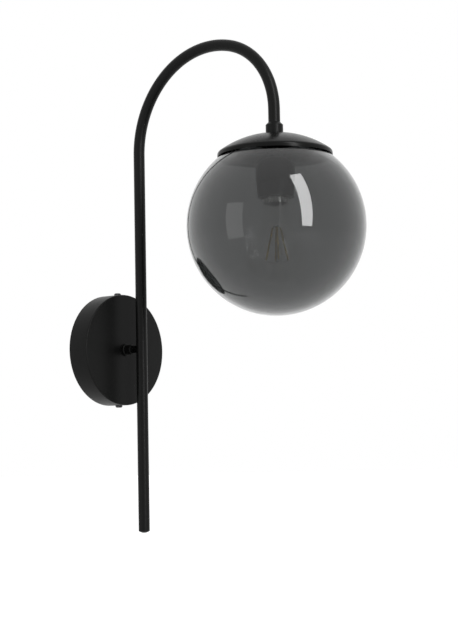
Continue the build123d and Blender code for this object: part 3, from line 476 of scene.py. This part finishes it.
def phosphor(finishes):
    """Granular yellow coating of the light sticks."""
    material = new_finish("phosphor_coat", finishes.phosphor, 0.7)
    drive_colour(material, noise(material, 1500), tinted(finishes.phosphor, 0.85),
                 tinted(finishes.phosphor, 1.12))
    add_bump(material, noise(material, 3000, 2.0), 0.3, 0.0001)
    return material


def two_colour_pvc(name, first, second):
    """Soft sleeve of the earth wire, in patches of two colours."""
    material = new_finish(name, first, 0.42)
    drive_colour(material, noise(material, 180, 0.0), first, second)
    return material


def make_finishes(finishes):
    """Every finish by the name of its slot in the record."""
    return {
        "black_satin": powder_coat(finishes),
        "black_gloss": cap_enamel(finishes),
        "black_screw": plastic("black_screw_paint", (0.02, 0.02, 0.021), 0.34, 0.05),
        "zinc_steel": zinc_plate(finishes),
        "smoke_glass": smoke_glass(finishes),
        "black_rubber": plastic("black_rubber", (0.025, 0.025, 0.025), 0.72, 0.2),
        "black_plastic": plastic("black_moulding", (0.018, 0.018, 0.018), 0.32, 0.08),
        "porcelain": plastic("glazed_porcelain", (0.80, 0.79, 0.75), 0.18, 0.04),
        "brass": brass_metal(finishes),
        "nickel": nickel_plate(finishes),
        "cap_insulator": plastic("black_cap_glass", (0.012, 0.012, 0.012), 0.15, 0.05),
        "solder": zinc_plate(finishes),
        "lamp_glass": lamp_glass(finishes),
        "filament": phosphor(finishes),
        "lead_wire": zinc_plate(finishes),
        "white_plastic": plastic("white_terminal_moulding", (0.78, 0.78, 0.75), 0.42, 0.06),
        "brown_pvc": plastic("brown_pvc", (0.16, 0.065, 0.03), 0.42, 0.05),
        "blue_pvc": plastic("blue_pvc", (0.02, 0.10, 0.42), 0.42, 0.05),
        "earth_pvc": two_colour_pvc("earth_pvc", (0.10, 0.38, 0.06), (0.75, 0.65, 0.04)),
    }


finish_by_slot = {}


def finish(slot):
    """The material made for a slot of the record."""
    if not finish_by_slot:
        finish_by_slot.update(make_finishes(bpy.context.scene.sconce_finishes))
    return finish_by_slot[slot]


# ---------------------------------------------------------------- pieces
class SCONCE_OT_canopy(Operator):
    """Spin the wall canopy, with its rounded edge, and the sleeve on its face"""
    bl_idname = "sconce.canopy"
    bl_label = "Canopy and Sleeve"

    def execute(self, context):
        sizes = context.scene.sconce_canopy
        face = sizes.depth
        rim = sizes.radius
        turn = sizes.edge
        least_turn = 0.0003
        inner_turn = max(turn - sizes.wall, least_turn)
        profile = [(sizes.hole, face)]
        profile += arc((rim - turn, face - turn), turn, 90, 0, 8)
        profile += [(rim, 0), (rim - sizes.wall, 0)]
        profile += arc((rim - turn, face - turn), inner_turn, 0, 90, 4)
        profile += [(sizes.hole, face - sizes.wall)]
        canopy = turned("spun_canopy", profile, (0, 0, 0), (0, -1, 0), 128)
        dress(canopy, finish("black_satin"), "root", "black_satin", "canopy")

        ring_end = face + sizes.ring_length
        ring_chamfer = 0.0007
        body_end = face + sizes.sleeve_length
        body_chamfer = 0.0005
        sleeve = turned("standoff", [
            (sizes.hole, face),
            (sizes.sleeve_ring, face),
            (sizes.sleeve_ring, ring_end - ring_chamfer),
            (sizes.sleeve_ring - ring_chamfer, ring_end),
            (sizes.sleeve_body, ring_end),
            (sizes.sleeve_body, body_end - body_chamfer),
            (sizes.sleeve_body - body_chamfer, body_end),
            (sizes.hole, body_end),
        ], (0, 0, 0), (0, -1, 0), 64)
        dress(sleeve, finish("black_satin"), "root", "black_satin", "standoff_sleeve")
        return {"FINISHED"}


class SCONCE_OT_side_screws(Operator):
    """Turn one domed screw with a cross recess and seat it above and below the canopy"""
    bl_idname = "sconce.side_screws"
    bl_label = "Canopy Side Screws"

    head_radius: length("Head radius", "Radius of the domed head", 0.0038)
    head_height: length("Head height", "Height of the domed head", 0.0023)
    shank_radius: length("Shank radius", "Radius of the shank", 0.00195)
    shank_length: length("Shank length", "Length of the shank under the head", 0.008)

    def execute(self, context):
        sizes = context.scene.sconce_canopy
        turn = 0.0017
        recess_length = 0.0033
        recess_width = 0.0007
        recess_depth = 0.0011
        profile = [(0, -self.shank_length), (self.shank_radius, -self.shank_length)]
        profile += [(self.shank_radius, 0), (self.head_radius, 0)]
        profile += arc((self.head_radius - turn, self.head_height - turn), turn, 0, 90, 8)
        profile += [(0, self.head_height)]
        screw = turned("canopy_screw_upper", profile, (0, 0, 0), (0, 0, 1), 40)
        middle = (0, 0, self.head_height)
        cut_slot(screw, (recess_length, recess_width, 2 * recess_depth), middle)
        cut_slot(screw, (recess_width, recess_length, 2 * recess_depth), middle)
        soften(screw)
        lower = copy_of(screw, "canopy_screw_lower")
        top = Vector((0, -sizes.screw_depth, sizes.radius))
        bottom = Vector((0, -sizes.screw_depth, -sizes.radius))
        seat(screw, Matrix.Translation(top))
        seat(lower, Matrix.Translation(bottom) @ Matrix.Rotation(pi, 4, "X"))
        both = joined([screw, lower], "canopy_screws")
        dress(both, finish("black_screw"), "root", "black_screw", "canopy_side_screws")
        return {"FINISHED"}


class SCONCE_OT_arm(Operator):
    """Bend the gooseneck tube from one circle, and close its tail with the domed plug"""
    bl_idname = "sconce.arm"
    bl_label = "Gooseneck Arm"

    def execute(self, context):
        sizes = context.scene.sconce_arm
        first_turn = sizes.first_angle
        centre_1 = -sizes.distance - sizes.first_radius
        meet_y = centre_1 + sizes.first_radius * cos(first_turn)
        meet_z = sizes.bend_start + sizes.first_radius * sin(first_turn)
        centre_2 = meet_y - sizes.second_radius * cos(first_turn)
        bend_end = meet_z - sizes.second_radius * sin(first_turn)

        object_mode()
        bpy.ops.mesh.primitive_circle_add(vertices=48, radius=sizes.tube_radius, location=(0, 0, 0),
                                          enter_editmode=True)
        tube = bpy.context.object
        tube.name = "bent_tube"
        tube.data.name = "bent_tube"
        bpy.ops.mesh.select_all(action="SELECT")
        bpy.ops.transform.translate(value=(0, -sizes.distance, sizes.tail))
        stretches = 8
        rise = (sizes.bend_start - sizes.tail) / stretches
        for stretch in range(stretches):
            bpy.ops.mesh.extrude_region_move(TRANSFORM_OT_translate={"value": (0, 0, rise)})
        bpy.ops.mesh.spin(steps=64, angle=first_turn, center=(0, centre_1, sizes.bend_start),
                          axis=(-1, 0, 0))
        bpy.ops.mesh.spin(steps=44, angle=pi - first_turn, center=(0, centre_2, bend_end),
                          axis=(-1, 0, 0))
        bpy.ops.mesh.extrude_region_move(
            TRANSFORM_OT_translate={"value": (0, 0, sizes.stem_end - bend_end)})
        bpy.ops.mesh.select_all(action="SELECT")
        bpy.ops.mesh.remove_doubles(threshold=WELD)
        bpy.ops.mesh.normals_make_consistent(inside=False)
        object_mode()
        use_modifier(tube, "SOLIDIFY", thickness=sizes.tube_wall, offset=-1.0)
        soften(tube)
        dress(tube, finish("black_satin"), "root", "black_satin", "gooseneck_tube")

        skirt = 0.001
        dome = sizes.plug_dome - skirt
        dome_radius = (sizes.tube_radius**2 + dome**2) / (2 * dome)
        dome_middle = sizes.tail - sizes.plug_dome + dome_radius
        half_width = degrees(atan2(sizes.tube_radius, dome_radius - dome))
        spigot = sizes.tube_radius - sizes.tube_wall - FIT
        spigot_top = sizes.tail + 0.008
        lead_in = 0.0006
        profile = [(0, spigot_top), (spigot - lead_in, spigot_top), (spigot, spigot_top - lead_in)]
        profile += [(spigot, sizes.tail), (sizes.tube_radius, sizes.tail)]
        profile += arc((0, dome_middle), dome_radius, -90 + half_width, -90, 8)
        plug = turned("domed_plug", profile, (0, -sizes.distance, 0), (0, 0, 1), 48)
        dress(plug, finish("black_satin"), "root", "black_satin", "tube_end_plug")
        return {"FINISHED"}


class SCONCE_OT_collar(Operator):
    """Turn the collar that joins the arm to the cap"""
    bl_idname = "sconce.collar"
    bl_label = "Head Collar"

    def execute(self, context):
        arm = context.scene.sconce_arm
        head = context.scene.sconce_head
        bore = arm.tube_radius + FIT
        foot_chamfer = 0.0003
        collar = head_turned("turned_collar", [
            (bore, arm.collar_top),
            (arm.collar_radius - arm.collar_chamfer, arm.collar_top),
            (arm.collar_radius, arm.collar_top - arm.collar_chamfer),
            (arm.collar_radius, head.seat + foot_chamfer),
            (arm.collar_radius - foot_chamfer, head.seat),
            (head.hole, head.seat),
            (head.hole, arm.stem_end),
            (bore, arm.stem_end),
        ], 64)
        dress(collar, finish("black_satin"), "root", "black_satin", "head_collar")
        return {"FINISHED"}


class SCONCE_OT_cap(Operator):
    """Spin the shallow domed cap with its rolled edge"""
    bl_idname = "sconce.cap"
    bl_label = "Domed Cap"

    def execute(self, context):
        sizes = context.scene.sconce_head
        edge_r = sizes.rim_radius - sizes.edge
        edge_h = sizes.dome_centre + sqrt((sizes.dome_radius - sizes.edge) ** 2 - edge_r**2)
        touch_angle = degrees(atan2(edge_h - sizes.dome_centre, edge_r))
        flat = sizes.seat - sizes.dome_centre
        top_angle = degrees(atan2(flat, sqrt(sizes.dome_radius**2 - flat**2)))
        inner_dome = sizes.dome_radius - sizes.wall
        inner_flat = flat - sizes.wall
        inner_top_angle = degrees(atan2(inner_flat, sqrt(inner_dome**2 - inner_flat**2)))
        dome_middle = (0, sizes.dome_centre)
        profile = [(sizes.hole, sizes.seat)]
        profile += arc(dome_middle, sizes.dome_radius, top_angle, touch_angle, 40)
        profile += arc((edge_r, edge_h), sizes.edge, touch_angle, 0, 10)[1:]
        profile += [(sizes.rim_radius, sizes.rim_height), (sizes.rim_radius - sizes.wall, sizes.rim_height)]
        profile += arc((edge_r, edge_h), sizes.edge - sizes.wall, 0, touch_angle, 10)
        profile += arc(dome_middle, inner_dome, touch_angle, inner_top_angle, 40)[1:]
        profile += [(sizes.hole, sizes.seat - sizes.wall)]
        cap = head_turned("spun_cap", profile, 160)
        dress(cap, finish("black_gloss"), "root", "black_gloss", "cap")
        return {"FINISHED"}


class SCONCE_OT_globe(Operator):
    """Blow the smoke glass globe with its shoulder and straight neck"""
    bl_idname = "sconce.globe"
    bl_label = "Glass Globe"

    def execute(self, context):
        sizes = context.scene.sconce_globe
        middle = (0, sizes.centre)
        wall = sizes.wall
        turn = sizes.shoulder_round
        shoulder_angle = degrees(atan2(sqrt(sizes.radius**2 - sizes.shoulder**2), sizes.shoulder))
        inner = sizes.radius - wall
        inset = 0.0018
        inner_shoulder = sizes.shoulder - inset
        inner_angle = degrees(atan2(sqrt(inner**2 - inner_shoulder**2), inner_shoulder))
        lip = 0.0008
        profile = arc(middle, sizes.radius, -90, shoulder_angle, 72)
        turn_start = 35
        profile += arc((sizes.shoulder - turn, sizes.shoulder_height - turn), turn, turn_start, 90, 6)
        profile += [(sizes.neck, sizes.shoulder_height), (sizes.neck, sizes.neck_top - lip)]
        profile += [(sizes.neck - lip, sizes.neck_top), (sizes.neck - wall + lip, sizes.neck_top)]
        profile += [(sizes.neck - wall, sizes.neck_top - lip)]
        profile += [(sizes.neck - wall, sizes.shoulder_height - wall)]
        profile += arc(middle, inner, inner_angle, -90, 72)
        globe = head_turned("blown_globe", profile, 160)
        dress(globe, finish("smoke_glass"), "globe", "smoke_glass", "glass_globe")
        return {"FINISHED"}


class SCONCE_OT_lamp(Operator):
    """Blow the lamp's glass and roll the thread of its screw cap"""
    bl_idname = "sconce.lamp"
    bl_label = "Screw Lamp"

    def execute(self, context):
        sizes = context.scene.sconce_lamp
        self.make_glass(sizes)
        self.make_screw_cap(sizes)
        return {"FINISHED"}

    def make_glass(self, sizes):
        """Round bulb that runs on to its neck in a hollow curve."""
        rise = sizes.neck_height - sizes.centre
        hollow = (rise**2 - sizes.radius**2 + sizes.neck**2) / (2 * (sizes.radius - sizes.neck))
        hollow_r = sizes.neck + hollow
        ball_angle = degrees(atan2(rise, hollow_r))
        wall = sizes.glass_wall
        ball = (0, sizes.centre)
        neck_curve = (hollow_r, sizes.neck_height)
        profile = arc(ball, sizes.radius, -90, ball_angle, 48)
        profile += arc(neck_curve, hollow, 180 + ball_angle, 180, 24)[1:]
        profile += [(sizes.neck, sizes.glass_top), (sizes.neck - wall, sizes.glass_top)]
        profile += arc(neck_curve, hollow + wall, 180, 180 + ball_angle, 24)
        profile += arc(ball, sizes.radius - wall, ball_angle, -90, 48)[1:]
        glass = head_turned("lamp_envelope", profile, 128)
        dress(glass, finish("lamp_glass"), "bulb", "lamp_glass", "bulb_envelope")

    def make_screw_cap(self, sizes):
        """Plain rim, rolled thread, and a shoulder that closes on the insulator."""
        steps = 16
        middle = sizes.cap_radius - sizes.thread_depth / 2
        wave = []
        for step in range(steps + 1):
            share = step / steps
            radius = middle + sizes.thread_depth / 2 * cos(2 * pi * share)
            wave.append(Vector((radius, HEAD_Y, sizes.thread_bottom + (share - 1) * sizes.thread_pitch)))
        thread = single_point("rolled_thread", wave[0])
        for here, there in zip(wave, wave[1:]):
            bpy.ops.mesh.extrude_region_move(TRANSFORM_OT_translate={"value": there - here})
        object_mode()
        turns = 5
        # the thread is turned about the object's own axis, so it is moved there and back
        seat(thread, Matrix.Translation((0, -HEAD_Y, 0)))
        use_modifier(thread, "SCREW", screw_offset=sizes.thread_pitch, iterations=turns, steps=64,
                     render_steps=64, use_merge_vertices=True, use_normal_calculate=True,
                     merge_threshold=WELD)
        seat(thread, Matrix.Translation((0, HEAD_Y, 0)))
        pick(thread)
        bpy.ops.object.mode_set(mode="EDIT")
        thread_top = sizes.cap_top - 0.0014
        for height, clear_outer in ((thread_top, True), (sizes.thread_bottom, False)):
            bpy.ops.mesh.select_all(action="SELECT")
            bpy.ops.mesh.bisect(plane_co=(0, HEAD_Y, height), plane_no=(0, 0, 1),
                                clear_outer=clear_outer, clear_inner=not clear_outer)
        bpy.ops.mesh.select_all(action="SELECT")
        bpy.ops.mesh.remove_doubles(threshold=WELD)
        bpy.ops.mesh.normals_make_consistent(inside=False)
        object_mode()
        sheet = 0.0003
        use_modifier(thread, "SOLIDIFY", thickness=sheet, offset=-1.0)
        soften(thread, angle=50)

        bore = sizes.neck + FIT
        root = sizes.cap_radius - sizes.thread_depth
        rim_radius = sizes.cap_radius + 0.0003
        rim_height = 0.0012
        rim_slope = 0.003
        lap = 0.0002
        gap = 0.0006
        rim = head_turned("cap_rim", [
            (bore, sizes.cap_bottom),
            (rim_radius, sizes.cap_bottom),
            (rim_radius, sizes.cap_bottom + rim_height),
            (sizes.cap_radius, sizes.cap_bottom + rim_slope),
            (sizes.cap_radius, sizes.thread_bottom - gap),
            (root, sizes.thread_bottom + lap),
            (root - sheet, sizes.thread_bottom + lap),
            (bore, sizes.thread_bottom - gap),
        ], 64)
        wall = 0.0005
        cover = 0.0001
        bevel = 0.0009
        insulator_hole = 0.009
        shoulder_start = sizes.cap_top - 0.0016
        bevel_start = sizes.cap_top - 0.0010
        inner_bevel_start = sizes.cap_top - 0.0012
        shoulder = head_turned("cap_shoulder", [
            (root - wall, shoulder_start),
            (root + cover, shoulder_start),
            (root + cover, bevel_start),
            (root - bevel, sizes.cap_top),
            (insulator_hole, sizes.cap_top),
            (insulator_hole, sizes.cap_top - wall),
            (root - wall - bevel, sizes.cap_top - wall),
            (root - wall, inner_bevel_start),
        ], 64)
        screw_cap = joined([thread, rim, shoulder], "lamp_screw_cap")
        dress(screw_cap, finish("nickel"), "bulb", "nickel", "bulb_cap")


class SCONCE_OT_terminal_screws(Operator):
    """Turn one slotted terminal screw and set a copy at each place of the block"""
    bl_idname = "sconce.terminal_screws"
    bl_label = "Terminal Screws"

    def execute(self, context):
        low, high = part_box("terminal_screws")
        radius = 0.0012
        front = -low.y
        back = -high.y
        xs = [low.x + radius, (low.x + high.x) / 2, high.x - radius]
        zs = [low.z + radius, high.z - radius]
        height = front - back
        chamfer = 0.0002
        slot_width = 0.0005
        slot_depth = 0.0007
        turn_between = 37
        screw = turned("slotted_screw", [
            (0, 0), (radius, 0), (radius, height - chamfer), (radius - chamfer, height), (0, height),
        ], (0, 0, 0), (0, 0, 1), 24)
        cut_slot(screw, (3 * radius, slot_width, 2 * slot_depth), (0, 0, height))
        soften(screw)
        screws = []
        for x in xs:
            for z in zs:
                turn = turn_between * len(screws)
                twin = copy_of(screw, "slotted_screw_copy")
                seat(twin, Matrix.Translation((x, -back, z)) @ Matrix.Rotation(pi / 2, 4, "X")
                     @ Matrix.Rotation(radians(turn), 4, "Z"))
                screws.append(twin)
        bpy.data.objects.remove(screw)
        both = joined(screws, "terminal_screw_set")
        dress(both, finish("zinc_steel"), "root", "zinc_steel", "terminal_screws")
        return {"FINISHED"}


class SCONCE_OT_rounded(Operator):
    """Copy the nodes that keep their shape, with their round faces shaded smooth"""
    bl_idname = "sconce.rounded"
    bl_label = "Smooth Round Faces"

    def execute(self, context):
        for node in ROUND_NODES:
            piece = merged_copy(node, "smooth_" + node)
            dress(piece, finish(SLOT_OF[node]), BODY_OF[node], SLOT_OF[node], node)
        return {"FINISHED"}


# ---------------------------------------------------------------- stage
SCONCE_MIDDLE = Vector((0, -0.15, 0.08))


def soft_light(name, place, size, power):
    """A rectangular area light that faces the middle of the sconce."""
    lamp = bpy.data.lights.new(name, "AREA")
    lamp.shape = "RECTANGLE"
    lamp.size = size[0]
    lamp.size_y = size[1]
    lamp.energy = power
    holder = bpy.data.objects.new(name, lamp)
    bpy.context.collection.objects.link(holder)
    towards = SCONCE_MIDDLE - Vector(place)
    holder.location = place
    holder.rotation_euler = towards.to_track_quat("-Z", "Y").to_euler()
    return holder


def seen_share(tree):
    """1 where the camera sees the background, also in a gloss or through glass, 0 elsewhere."""
    path = tree.nodes.new("ShaderNodeLightPath")
    share = path.outputs["Is Camera Ray"]
    for ray in ("Is Glossy Ray", "Is Transmission Ray"):
        either = tree.nodes.new("ShaderNodeMath")
        either.operation = "MAXIMUM"
        tree.links.new(share, either.inputs[0])
        tree.links.new(path.outputs[ray], either.inputs[1])
        share = either.outputs["Value"]
    return share


class SCONCE_OT_stage(Operator):
    """Lay the pale floor, hang the soft lights and aim the camera"""
    bl_idname = "sconce.stage"
    bl_label = "Studio"

    def execute(self, context):
        studio = context.scene.sconce_studio
        context.scene.view_settings.view_transform = "Standard"
        self.aim_camera(context, studio)
        self.light_room(context, studio)
        self.lay_floor(context, studio)
        soft_light("key_softbox", place=(-0.46, -2.09, 1.01), size=(0.55, 2.6), power=studio.key_power)
        soft_light("fill_softbox", place=(-1.9, 0.3, 0.2), size=(0.8, 1.4), power=studio.fill_power)
        soft_light("rim_softbox", place=(1.4, 0.25, 1.45), size=(0.9, 0.6), power=studio.rim_power)
        return {"FINISHED"}

    def aim_camera(self, context, studio):
        """A camera a little below the canopy, looking slightly up, with the photograph's small roll."""
        look = Vector((sin(studio.heading) * cos(studio.pitch),
                       cos(studio.heading) * cos(studio.pitch),
                       sin(studio.pitch)))
        level = Vector((cos(studio.heading), -sin(studio.heading), 0))
        upright = level.cross(look)
        across = cos(studio.roll) * level + sin(studio.roll) * upright
        up = cos(studio.roll) * upright - sin(studio.roll) * level
        camera = bpy.data.cameras.new("photo_camera")
        camera.sensor_width = 36.0
        camera.lens = studio.focal
        camera.clip_end = 50.0
        holder = bpy.data.objects.new("photo_camera", camera)
        context.collection.objects.link(holder)
        turn = Matrix((across, up, -look)).transposed().to_4x4()
        holder.matrix_world = Matrix.Translation(studio.camera_place) @ turn
        context.scene.camera = holder

    def light_room(self, context, studio):
        """A room that gives dim light from the right and pale light from the left, and looks white."""
        world = bpy.data.worlds.new("studio_room")
        context.scene.world = world
        world.use_nodes = True
        tree = world.node_tree
        background = tree.nodes["Background"]
        background.inputs["Color"].default_value = (1, 1, 1, 1)
        to_pale_side = (-0.70, 0.69, -0.20)
        way = tree.nodes.new("ShaderNodeTexCoord")
        pale_side = tree.nodes.new("ShaderNodeVectorMath")
        pale_side.operation = "DOT_PRODUCT"
        pale_side.inputs[1].default_value = to_pale_side
        level = tree.nodes.new("ShaderNodeMapRange")
        level.interpolation_type = "SMOOTHSTEP"
        level.inputs["From Min"].default_value = -0.1
        level.inputs["From Max"].default_value = 0.9
        level.inputs["To Min"].default_value = studio.room_level
        level.inputs["To Max"].default_value = studio.pale_level
        strength = tree.nodes.new("ShaderNodeMix")
        tree.links.new(way.outputs["Generated"], pale_side.inputs[0])
        tree.links.new(pale_side.outputs["Value"], level.inputs["Value"])
        tree.links.new(level.outputs["Result"], strength.inputs["A"])
        strength.inputs["B"].default_value = 1.0
        tree.links.new(seen_share(tree), strength.inputs["Factor"])
        tree.links.new(strength.outputs["Result"], background.inputs["Strength"])

    def lay_floor(self, context, studio):
        """A wide pale floor that looks white and still takes the shadow.

        Its own light is weaker near the sconce, so that the shadow there still shows. The
        globe mirrors the room and not the floor, which keeps a hard horizon off the glass.
        """
        object_mode()
        bpy.ops.mesh.primitive_circle_add(vertices=64, radius=9, fill_type="NGON",
                                          location=(0, 0, studio.floor_height))
        floor = context.object
        floor.name = "pale_floor"
        material = new_finish("pale_floor_paint", (0.9, 0.9, 0.9), 0.8)
        tree = material.node_tree
        shader = tree.nodes["Principled BSDF"]
        drive_range(material, noise(material, 3), "Roughness", 0.75, 0.85)
        shader.inputs["Emission Color"].default_value = (1, 1, 1, 1)
        place = tree.nodes.new("ShaderNodeTexCoord")
        distance = tree.nodes.new("ShaderNodeVectorMath")
        distance.operation = "LENGTH"
        spread = tree.nodes.new("ShaderNodeMapRange")
        spread.inputs["From Min"].default_value = 0.5
        spread.inputs["From Max"].default_value = 1.2
        spread.inputs["To Min"].default_value = 0.7
        spread.inputs["To Max"].default_value = 1.0
        shown = tree.nodes.new("ShaderNodeMath")
        shown.operation = "MULTIPLY"
        tree.links.new(place.outputs["Object"], distance.inputs[0])
        tree.links.new(distance.outputs["Value"], spread.inputs["Value"])
        tree.links.new(spread.outputs["Result"], shown.inputs[0])
        tree.links.new(seen_share(tree), shown.inputs[1])
        tree.links.new(shown.outputs["Value"], shader.inputs["Emission Strength"])
        floor.data.materials.append(material)
        floor.visible_glossy = False


# ---------------------------------------------------------------- sidebar and registration
class SCONCE_PT_sidebar(Panel):
    """Lists the steps in the order in which they are run"""
    bl_idname = "SCONCE_PT_sidebar"
    bl_label = "Globe Wall Sconce"
    bl_space_type = "VIEW_3D"
    bl_region_type = "UI"
    bl_category = "Sconce"

    def draw(self, context):
        for operator in OPERATORS:
            self.layout.operator(operator.bl_idname)


GROUPS = {
    "sconce_canopy": CanopySizes,
    "sconce_arm": ArmSizes,
    "sconce_head": HeadSizes,
    "sconce_globe": GlobeSizes,
    "sconce_lamp": LampSizes,
    "sconce_finishes": Finishes,
    "sconce_studio": StudioSettings,
}
OPERATORS = (
    SCONCE_OT_rounded,
    SCONCE_OT_canopy,
    SCONCE_OT_side_screws,
    SCONCE_OT_arm,
    SCONCE_OT_collar,
    SCONCE_OT_cap,
    SCONCE_OT_globe,
    SCONCE_OT_lamp,
    SCONCE_OT_terminal_screws,
    SCONCE_OT_stage,
)


def register():
    for group in GROUPS.values():
        bpy.utils.register_class(group)
    for operator in OPERATORS:
        bpy.utils.register_class(operator)
    bpy.utils.register_class(SCONCE_PT_sidebar)
    for name, group in GROUPS.items():
        setattr(bpy.types.Scene, name, PointerProperty(type=group))


def unregister():
    for name in GROUPS:
        delattr(bpy.types.Scene, name)
    bpy.utils.unregister_class(SCONCE_PT_sidebar)
    for operator in reversed(OPERATORS):
        bpy.utils.unregister_class(operator)
    for group in reversed(list(GROUPS.values())):
        bpy.utils.unregister_class(group)


def main():
    """Register the add-on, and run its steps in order."""
    register()
    bpy.ops.sconce.rounded()
    bpy.ops.sconce.canopy()
    bpy.ops.sconce.side_screws()
    bpy.ops.sconce.arm()
    bpy.ops.sconce.collar()
    bpy.ops.sconce.cap()
    bpy.ops.sconce.globe()
    bpy.ops.sconce.lamp()
    bpy.ops.sconce.terminal_screws()
    bpy.ops.sconce.stage()


if __name__ == "__main__":
    main()
